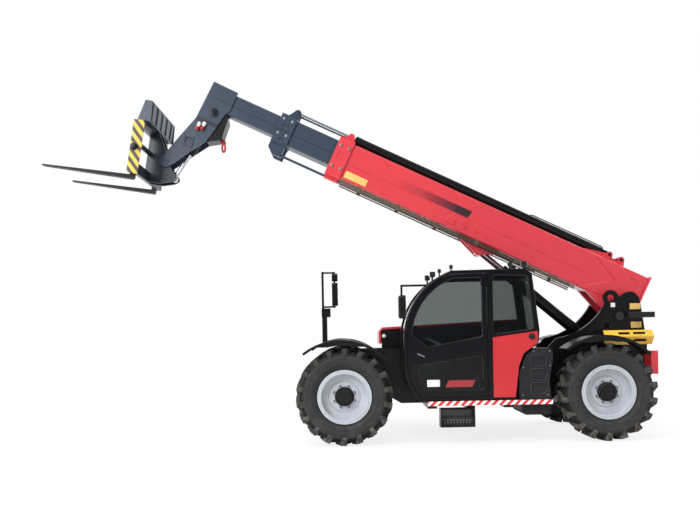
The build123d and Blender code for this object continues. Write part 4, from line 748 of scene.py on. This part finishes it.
for number, shift in enumerate(COUPLER_SHIFTS):
    middle = on_boom(*COUPLER_AT) + (shift, 0.0, 0.0)
    buttons("coupler_body_%d" % number, [middle], COUPLER_FACE, disc, BODY_STEPS, coupler_white, "boom_tip")
    buttons("coupler_cap_%d" % number, [middle], COUPLER_FACE, disc, CAP_STEPS, cap_red, "boom_tip")
panel_middle = on_boom(6.602, 0.151, -0.235)
for hand, side in SIDES:
    place = panel_middle * (1.0, side, 1.0)
    face = (side * np.cross(PANEL_UP, SIDEWAYS), PANEL_UP)
    buttons("head_panel_" + hand, [place], face, STRIP * (0.070, 0.078), PANEL_STEPS, slate_paint, "boom_tip",
            hollow=True)
boss_cap = raised(BOSS_RISE, 0.15)
boss_face = BOSS_FLANK + BOSS_RISE
boss_spots = BOSS_AT + ring(6, 0.040)
boom_fittings("boss_caps", [BOSS_AT], BOSS_FLANK, ring(28, 0.058), boss_cap, black_paint, "boom_tip")
boom_fittings("boss_bolts", boss_spots, boss_face, ring(6, 0.009), raised(0.007), slate_paint, "boom_tip")

# Rear web of the boom head, a folded plate between its cheeks, and the red lifting link that hangs from it.
CHEEK = 0.1305
WEB_MIDDLE = np.array((6.275, 0.080))
WEB = np.array([(6.262, 0.330), (6.300, 0.320), (6.345, 0.090), (6.385, -0.120), (6.360, -0.140),
                (6.200, -0.035), (6.180, 0.000), (6.195, 0.050), (6.215, 0.260)])
WEB_STEPS = [(0.0, -CHEEK), (1.0, -CHEEK), (1.0, CHEEK), (0.0, CHEEK)]
LINK_RED = (0.45, 0.018, 0.022, 1.0)
EYE_STEPS = [(0.0, -0.035), (0.8, -0.035), (1.0, -0.028), (1.0, 0.028), (0.8, 0.035), (0.0, 0.035)]
LINK_WIDE = 0.022
LINK_TALL = 0.058
LINK_DROP = 0.076
web_outline = (WEB - WEB_MIDDLE) * (-1.0, 1.0)
web_place = on_boom(WEB_MIDDLE[0], 0.0, WEB_MIDDLE[1])
buttons("head_rear_web", [web_place], boom_face(1.0), web_outline, WEB_STEPS, black_paint, "boom_tip")
hook_at = on_boom(6.168, 0.0, -0.030)
link_red = finish("link_red_paint", LINK_RED, 0.35, dust=0.05)
buttons("lifting_boss", [hook_at], side_face(1.0), ring(24, 0.034), EYE_STEPS, link_red, "boom_tip")
link_turn = np.linspace(0.0, 2 * np.pi, 40, endpoint=False)
link_line = np.stack([LINK_WIDE * np.sin(link_turn), LINK_TALL * np.cos(link_turn) - LINK_DROP], axis=-1)
bead("lifting_link", [hook_at + upright(link_line, 0.0)], 0.015, link_red, "boom_tip", closed=True)

# Seat: foam cushions in dark cloth on a black moulded pedestal, replacing the plain solid.
# Each cushion is a rounded block that swells in the middle and is drawn in along two seams.
FABRIC = (0.034, 0.034, 0.038, 1.0)
SQUARENESS = 0.35
SEAM_AT = 0.55
SEAM_WIDTH = 0.012
SEAM_DEPTH = 0.008
SWELL = 0.020
PEDESTAL = STRIP * 0.170
PEDESTAL_STEPS = [(0.0, 0.605), (1.0, 0.605), (1.0, 0.640), (0.75, 0.700), (0.75, 0.770), (0.95, 0.800),
                  (0.0, 0.800)]
TOP_FACE = ((1.0, 0.0, 0.0), (0.0, 1.0, 0.0))
seat_low, seat_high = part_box("seat")
seat_fabric = finish("seat_fabric", FABRIC, 0.85, dust=0.0, peel=1200.0, depth=0.3, shine=0.2)
paint(seat_fabric, "seat")


def squared(wave):
    """Sine or cosine flattened towards plus or minus one, which squares a round section."""
    return np.sign(wave) * np.abs(wave) ** SQUARENESS


def cushion(name, middle, half, lean):
    """Closed cushion: a squared ellipsoid, swollen on its broad face and drawn in at two seams."""
    across = np.linspace(-np.pi / 2, np.pi / 2, 41)[:, None]
    about = np.linspace(0.0, 2 * np.pi, 64, endpoint=False)[None, :]
    tilt = squared(np.sin(about))
    size = np.cos(across) ** SQUARENESS
    y = half[1] * squared(np.sin(across)) + 0.0 * about
    u = half[0] * size * squared(np.cos(about))
    w = half[2] * size * tilt
    crown = (1 - (y / half[1]) ** 2) * (1 - (u / half[0]) ** 2)
    seam = np.exp(-((np.abs(y) - SEAM_AT * half[1]) / SEAM_WIDTH) ** 2)
    w = w + np.where(tilt > 0, SWELL * crown - SEAM_DEPTH * seam, 0.0)
    x = middle[0] + u * np.cos(lean) + w * np.sin(lean)
    z = middle[2] - u * np.sin(lean) + w * np.cos(lean)
    grid = np.stack([x, middle[1] + y, z], axis=-1)[None]
    piece = skin(name, grid, seat_fabric, "chassis", wrap_columns=True, smooth=80.0)
    return piece


seat_y = (seat_low.y + seat_high.y) / 2
base_x = seat_high.x - 0.235
back_x = seat_high.x - 0.445
base_cushion = cushion("seat_cushion", (base_x, seat_y, 0.850), (0.235, 0.230, 0.060), 0.06)
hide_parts("seat")
cushion("seat_back_cushion", (back_x, seat_y, 1.220), (0.300, 0.210, 0.052), np.pi / 2 - 0.05)
pedestal_at = (base_x, seat_y, 0.0)
buttons("seat_pedestal", [pedestal_at], TOP_FACE, PEDESTAL, PEDESTAL_STEPS, black_plastic, "chassis")

# Lamp lenses: fluted clear fronts on the four roof lamps, red ends on the tail lamps and a white marker on
# the engine tub.
FLUTE_DARK = (0.55, 0.57, 0.60, 1.0)
FLUTE_PALE = (0.85, 0.86, 0.88, 1.0)
LENS_RED = (0.50, 0.010, 0.012, 1.0)
ROOF_LAMPS = (("front", 1.0, -1.180, 2.220), ("rear", -1.0, -2.380, 2.338))
ROOF_LAMP_Y = (1.126, 0.439)
LAMP_HALF = 0.035
TAIL_AT = (-3.450 - 0.858 + SHIFT, 0.515, 1.650)
MARKER_AT = (-0.596 + SHIFT, 1.415)
MARKER_STEPS = [(0.0, 0.0), (1.0, 0.0), (1.0, 0.02), (0.85, 0.032), (0.5, 0.038), (0.0, 0.040)]
REAR_FACE = ((0.0, -1.0, 0.0), UP)
lens_clear, tree, shader = new_material("lamp_clear_lens")
where = add_node(tree, "ShaderNodeTexCoord").outputs["Object"]
flutes = add_node(tree, "ShaderNodeTexWave", Vector=where, Scale=60.0, Distortion=0.4)
flute_tone = blend(tree, flutes.outputs["Fac"], FLUTE_DARK, FLUTE_PALE)
fill(tree, shader, Base_Color=flute_tone, Roughness=0.08)
lens_red = finish("lamp_red_lens", LENS_RED, 0.12, dust=0.0, mottle=0.1, peel=90.0, depth=0.1,
                  coat=0.5)
roof_lens = STRIP * (0.036, 0.028)
for end, forward, lamp_x, lamp_z in ROOF_LAMPS:
    places = [(lamp_x + SHIFT + forward * LAMP_HALF, y, lamp_z) for y in ROOF_LAMP_Y]
    face = ((0.0, forward, 0.0), UP)
    buttons("roof_lamp_lens_" + end, places, face, roof_lens, raised(0.006, 0.15), lens_clear, "chassis")
tail_lens = STRIP * (0.038, 0.033)
for hand, side in SIDES:
    place = np.array(TAIL_AT) * (1.0, side, 1.0)
    buttons("tail_lens_" + hand, [place], REAR_FACE, tail_lens, raised(0.006, 0.12), lens_red, "chassis")
marker_place = upright([MARKER_AT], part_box("engine_tub")[1].y)
buttons("marker_lens", marker_place, side_face(1.0), ring(24, 0.030), MARKER_STEPS, lens_clear, "chassis")

# Mirror glasses: silvered panes on the rear faces of the three mirror heads.
SILVERED = (0.75, 0.77, 0.79, 1.0)
ARM_MIRROR = (-0.823 + SHIFT, 1.130, 1.8025)
MAST_REAR = 0.308 - 0.165 - 0.050 + SHIFT
mirror_glass = finish("silvered_mirror", SILVERED, 0.04, metal=1.0, dust=0.0, mottle=0.01,
                      depth=0.0)
mirrors = (("left_mirror_glass", ARM_MIRROR, (0.058, 0.135)),
           ("mast_mirror_glass_0", (MAST_REAR, -1.0, 2.080), (0.085, 0.160)),
           ("mast_mirror_glass_1", (MAST_REAR, -1.0, 2.345), (0.055, 0.048)))
for name, place, half in mirrors:
    buttons(name, [place], REAR_FACE, corner_cut(STRIP * half), raised(0.003, 0.05), mirror_glass, "chassis")

# Door catch on the red panel, a rubber buffer, and the locker's bolts and moulded ribs.
CATCH_BLACK = (0.012, 0.012, 0.012, 1.0)
CATCH_AT = (-2.455 + SHIFT, 1.385)
CATCH_STEPS = [(0.0, 0.0), (1.0, 0.0), (1.0, 0.008), (0.7, 0.010), (0.62, 0.030), (0.5, 0.034), (0.0, 0.034)]
RIB_BLACK = (0.022, 0.022, 0.026, 1.0)
LOCKER_SPOTS = np.array([(-2.330, 0.62), (-2.650, 0.62), (-2.340, 0.98), (-2.690, 1.00), (-2.480, 1.19),
                         (-2.690, 1.19)])
RIB_FEET = (0.640, 0.820, 1.000)
RIB_LINE = np.array([(-2.440, 0.015), (-2.440, 0.125), (-2.455, 0.140), (-2.633, 0.140), (-2.648, 0.125),
                     (-2.632, 0.015), (-2.617, 0.000), (-2.455, 0.000)])
catch_rubber = finish("catch_black_rubber", CATCH_BLACK, 0.6, dust=0.05, peel=600.0,
                      shine=0.3)
catch_place = upright([CATCH_AT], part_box("quarter_panel")[1].y)
buttons("door_catch", catch_place, side_face(1.0), ring(28, 0.042), CATCH_STEPS, catch_rubber, "chassis")
locker_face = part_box("side_locker")[1].y
rib_plastic = finish("rib_dark_plastic", RIB_BLACK, 0.35, dust=0.05, peel=900.0, depth=0.1)
bolt_places = upright(LOCKER_SPOTS + (SHIFT, 0.0), locker_face)
buttons("locker_bolts", bolt_places, side_face(1.0), BOLT, raised(0.008), bolt_steel, "chassis")
rib_paths = [upright(RIB_LINE + (SHIFT, foot), locker_face) for foot in RIB_FEET]
bead("locker_ribs", rib_paths, 0.006, rib_plastic, "chassis", closed=True)

# Blank plates on the frame: two yellow ones and a white one on the rear of each side plate.
FRAME_FACE = 0.355
FRAME_LABELS = [(-4.110 + SHIFT, 1.772), (-4.120 + SHIFT, 1.512)]
FRAME_TAG = (-3.644, 1.796)
plate_steps = raised(0.002, 0.01)
for hand, side in SIDES:
    places = upright(FRAME_LABELS, side * FRAME_FACE)
    face = side_face(side)
    buttons("frame_label_" + hand, places, face, STRIP * (0.075, 0.042), plate_steps, label_yellow, "chassis")
    places = upright([FRAME_TAG], side * FRAME_FACE)
    buttons("frame_tag_" + hand, places, face, STRIP * (0.031, 0.031), plate_steps, label_white, "chassis")

# Roof knobs: three short posts with round heads along the left edge of the cab.
KNOB_Y = 1.090
KNOBS = ((-1.125, 2.190), (-1.280, 2.242), (-2.048, 2.262))
KNOB_STEPS = [(0.0, -0.020), (0.4, -0.020), (0.4, 0.050), (0.9, 0.055), (1.0, 0.066), (1.0, 0.090),
              (0.7, 0.102), (0.0, 0.105)]
buttons("roof_knobs", upright(KNOBS, KNOB_Y), TOP_FACE, ring(18, 0.024), KNOB_STEPS, black_plastic, "chassis")

# Window seals: extruded black rubber pressed round the edge of each side pane.
SEAL_BLACK = (0.006, 0.006, 0.007, 1.0)
SEAL_PROUD = 0.004
SEAL_RADIUS = 0.012
seal_rubber = finish("window_seal_rubber", SEAL_BLACK, 0.32, dust=0.0, peel=500.0,
                     shine=0.45)


def pane_edge(node, low=0.0, high=9.0):
    """Corners of a pane's left face in order round its middle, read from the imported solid's own corners."""
    mesh = nodes[node].data
    points = np.empty(3 * len(mesh.vertices))
    mesh.vertices.foreach_get("co", points)
    points = np.unique(points.reshape(-1, 3).round(5), axis=0)
    points = points[(points[:, 2] > low) & (points[:, 2] < high)]
    points = points[points[:, 1].max() - points[:, 1] < 0.0005]
    middle = (points.min(axis=0) + points.max(axis=0)) / 2
    order = np.argsort(np.arctan2(points[:, 2] - middle[2], points[:, 0] - middle[0]))
    return points[order]


low_pane_edge = pane_edge("door_glass", high=PANE_SPLIT)
seals = (("door_upper_seal", pane_edge("door_glass", low=PANE_SPLIT), "cab_door"),
         ("door_lower_seal", low_pane_edge, "cab_door"),
         ("quarter_seal", pane_edge("cab_glass"), "chassis"))
for name, edge, body in seals:
    bead(name, [edge + (0.0, SEAL_PROUD, 0.0)], SEAL_RADIUS, seal_rubber, body, closed=True)

# Blank plates stuck on the lower pane of the door: a white one and a slanted red one.
DOOR_LABEL = (-1.013, 0.795)
DOOR_BADGE = (-1.365, 0.785)
BADGE_LEAN = 0.022
pane_face = low_pane_edge[0, 1]
white_plate = STRIP * (0.083, 0.045)
red_plate = STRIP * (0.175, 0.045) + STRIP[:, 1:] * (BADGE_LEAN, 0.0)
for name, spot, plate, material in (("door_label", DOOR_LABEL, white_plate, label_white),
                                    ("door_badge", DOOR_BADGE, red_plate, cap_red)):
    buttons(name, upright([spot], pane_face), side_face(1.0), plate, plate_steps, material, "cab_door")

# Door handle grip: a grey plastic bar along the handle plate.
GRIP_GREY = (0.16, 0.16, 0.17, 1.0)
GRIP_Y = 1.226
GRIP = np.array([(-0.958, 1.186), (-0.990, 1.172), (-1.020, 1.159), (-1.050, 1.146)])
grip_plastic = finish("handle_grey_plastic", GRIP_GREY, 0.4, dust=0.0, peel=700.0, depth=0.1)
bead("door_grip", [upright(GRIP + (SHIFT, 0.0), GRIP_Y)], 0.010, grip_plastic, "cab_door")

# Step: a bent sheet closes its back and sweeps out over the tread to a rounded lip, with grip studs along its
# foot.
SHEET_BLACK = (0.022, 0.022, 0.024, 1.0)
SHEET = 0.004
SWEEP = 0.120
SHEET_INSET = 0.021
STUD_TURNS = np.radians((38.0, 56.0))
STUD_INSET = 0.06
LIP_RADIUS = 0.016
step_low, step_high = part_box("step")
sheet_back = step_low.y + 0.075
sheet_foot = step_low.z + 0.033
sheet_top = step_high.z - 0.018
sheet_reach = step_high.y - 0.020 - sheet_back


def on_sheet(turn):
    """Places on the sheet's sweep, a quarter of an ellipse from upright at zero to level at a right angle."""
    return sheet_back + sheet_reach * (1 - np.cos(turn)), sheet_foot + SWEEP * (1 - np.sin(turn))


sweep_y, sweep_z = on_sheet(np.linspace(0.0, np.pi / 2, 16))
front = np.stack([np.append(sheet_back, sweep_y), np.append(sheet_top, sweep_z)], axis=-1)
rim = np.concatenate([front, front[::-1] - SHEET])
middle_line = np.concatenate([front, front[::-1]]) - SHEET / 2
ends = (step_low.x + SHEET_INSET, step_high.x - SHEET_INSET)
columns = ((ends[0], middle_line), (ends[0], rim), (ends[1], rim), (ends[1], middle_line))
sheet = np.stack([np.insert(line, 0, x, axis=-1) for x, line in columns], axis=1)
sheet_paint = finish("step_sheet_paint", SHEET_BLACK, 0.25, dust=0.1, shine=0.6)
skin("step_sheet", sheet[None], sheet_paint, "chassis", wrap_rows=True)
lip_x = np.linspace(step_low.x + 0.004, step_high.x - 0.004, 6)
lip = np.stack(np.broadcast_arrays(lip_x, step_high.y - 0.014, step_low.z + 0.030), axis=-1)
bead("step_lip", [lip], LIP_RADIUS, black_paint, "chassis")
stud_x, stud_turn = np.meshgrid(np.linspace(step_low.x + STUD_INSET, step_high.x - STUD_INSET, 9), STUD_TURNS)
stud_places = np.stack([stud_x, *on_sheet(stud_turn)], axis=-1).reshape(-1, 3)
stud_mean = STUD_TURNS.mean()
stud_face = ((1.0, 0.0, 0.0), (0.0, sheet_reach * np.sin(stud_mean), -SWEEP * np.cos(stud_mean)))
stud_steps = raised(0.006, 0.4, -0.003)
buttons("step_studs", stud_places, stud_face, ring(10, 0.010), stud_steps, bolt_steel, "chassis")

# Ribs pressed in the back of the load backrest, seen from the cab, and the lock handles of the fork pins,
# round knobs on the carriage's end plates.
CARRIAGE_TILT = np.radians(9.5)
FORK_WAY = np.array((np.cos(CARRIAGE_TILT), 0.0, np.sin(CARRIAGE_TILT)))
FORK_UP = np.array((-np.sin(CARRIAGE_TILT), 0.0, np.cos(CARRIAGE_TILT)))
HANDLE_STEPS = [(0.0, 0.0), (1.0, 0.0), (1.0, 0.012), (0.6, 0.016), (0.6, 0.040), (0.8, 0.046), (0.8, 0.060),
                (0.0, 0.064)]
RIB_SPREAD = np.linspace(-0.56, 0.56, 5)


def on_carriage(forward, across, high):
    """Places on the carriage from distances along the forks, across them and square to them."""
    tip_pivot = on_boom(6.804, 0.0, -0.643)
    return tip_pivot + forward * FORK_WAY + high * FORK_UP + np.multiply.outer(across, SIDEWAYS)


rib_places = on_carriage(0.138, RIB_SPREAD, 0.555)
rib_face = ((0.0, -1.0, 0.0), FORK_UP)
rib = STRIP * (0.055, 0.118)
buttons("backrest_ribs", rib_places, rib_face, rib, raised(0.014, 0.2), slate_paint, "fork_carriage")
for hand, side in SIDES:
    place = on_carriage(0.290, side * CARRIAGE_HALF, 0.040)
    buttons("carriage_knob_" + hand, [place], side_face(side), ring(20, 0.048), HANDLE_STEPS, black_paint,
            "fork_carriage")

# Studio: pale floor and backdrop, soft light from above and from the camera's side. The floor glows to the
# camera alone, so that the shadows on it stay faint, as in the photograph.
FLOOR_GREY = (0.78, 0.78, 0.78, 1.0)
WHITE = (1.0, 1.0, 1.0, 1.0)
FLOOR_GLOW = 0.82
SKY_SPAN = (-0.5, 0.9)
SKY_BEHIND = (1.11, 1.12, 1.13, 1.0)
SKY_BEFORE = (0.30, 0.32, 0.36, 1.0)
bpy.ops.mesh.primitive_plane_add(size=120.0)
floor = bpy.context.object
floor.name = "studio_floor"
floor_paint, tree, shader = new_material("pale_floor")
fill(tree, shader, Base_Color=FLOOR_GREY, Roughness=0.9)
glow = add_node(tree, "ShaderNodeEmission", Color=WHITE)
camera_ray = add_node(tree, "ShaderNodeLightPath").outputs["Is Camera Ray"]
share = add_math(tree, "MULTIPLY", camera_ray, FLOOR_GLOW)
mixed = add_node(tree, "ShaderNodeMixShader", share, shader.outputs[0], glow.outputs[0])
tree.links.new(mixed.outputs[0], tree.nodes["Material Output"].inputs["Surface"])
floor.data.materials.append(floor_paint)
world = bpy.data.worlds.new("pale_studio")
bpy.context.scene.world = world
world.use_nodes = True
tree = world.node_tree
way = add_node(tree, "ShaderNodeTexCoord").outputs["Generated"]
sideways = add_node(tree, "ShaderNodeSeparateXYZ", way).outputs["Y"]
sky = blend(tree, ramp(tree, sideways, SKY_SPAN), SKY_BEHIND, SKY_BEFORE)
fill(tree, tree.nodes["Background"], Color=sky, Strength=0.9)


def light_at(name, kind, aim, energy):
    """Light of a kind that shines along a direction. Gives its object and its settings."""
    light = bpy.data.lights.new(name, kind)
    light.energy = energy
    holder = bpy.data.objects.new(name, light)
    holder.rotation_euler = Vector(aim).to_track_quat("-Z", "Y").to_euler()
    bpy.context.scene.collection.objects.link(holder)
    return holder, light


def soft_box(name, at, towards, size, power):
    """Square soft light aimed at a point."""
    holder, light = light_at(name, "AREA", Vector(towards) - Vector(at), power)
    holder.location = at
    light.size = size


daylight = light_at("soft_daylight", "SUN", (-0.35, -0.50, -0.80), 2.6)[1]
daylight.angle = 0.9
soft_box("camera_side_soft", (7.0, 9.0, 6.5), (0.0, 0.0, 1.8), 4.0, 650.0)
soft_box("rear_rim_soft", (-7.0, -6.0, 6.0), (-1.0, 0.0, 1.8), 5.0, 300.0)

# Camera: square on to the left side at eye height, with the horizon low in the frame as in the photograph.
PHOTO_WIDTH = 700.0
FOCAL_PIXELS = 800.0
HORIZON_DROP = 67.0
CAMERA_ROLL = np.radians(1.1)
CAMERA_AT = (-0.0881 + SHIFT, 11.625, 1.5)
camera_data = bpy.data.cameras.new("photo_camera")
camera_data.sensor_width = 36.0
camera_data.lens = camera_data.sensor_width * FOCAL_PIXELS / PHOTO_WIDTH
camera_data.shift_y = HORIZON_DROP / PHOTO_WIDTH
camera = bpy.data.objects.new("photo_camera", camera_data)
bpy.context.scene.collection.objects.link(camera)
facing = Matrix.Rotation(np.pi, 4, "Z") @ Matrix.Rotation(np.pi / 2, 4, "X")
camera.matrix_world = Matrix.Translation(CAMERA_AT) @ facing @ Matrix.Rotation(-CAMERA_ROLL, 4, "Z")
bpy.context.scene.camera = camera
bpy.context.scene.view_settings.view_transform = "Standard"
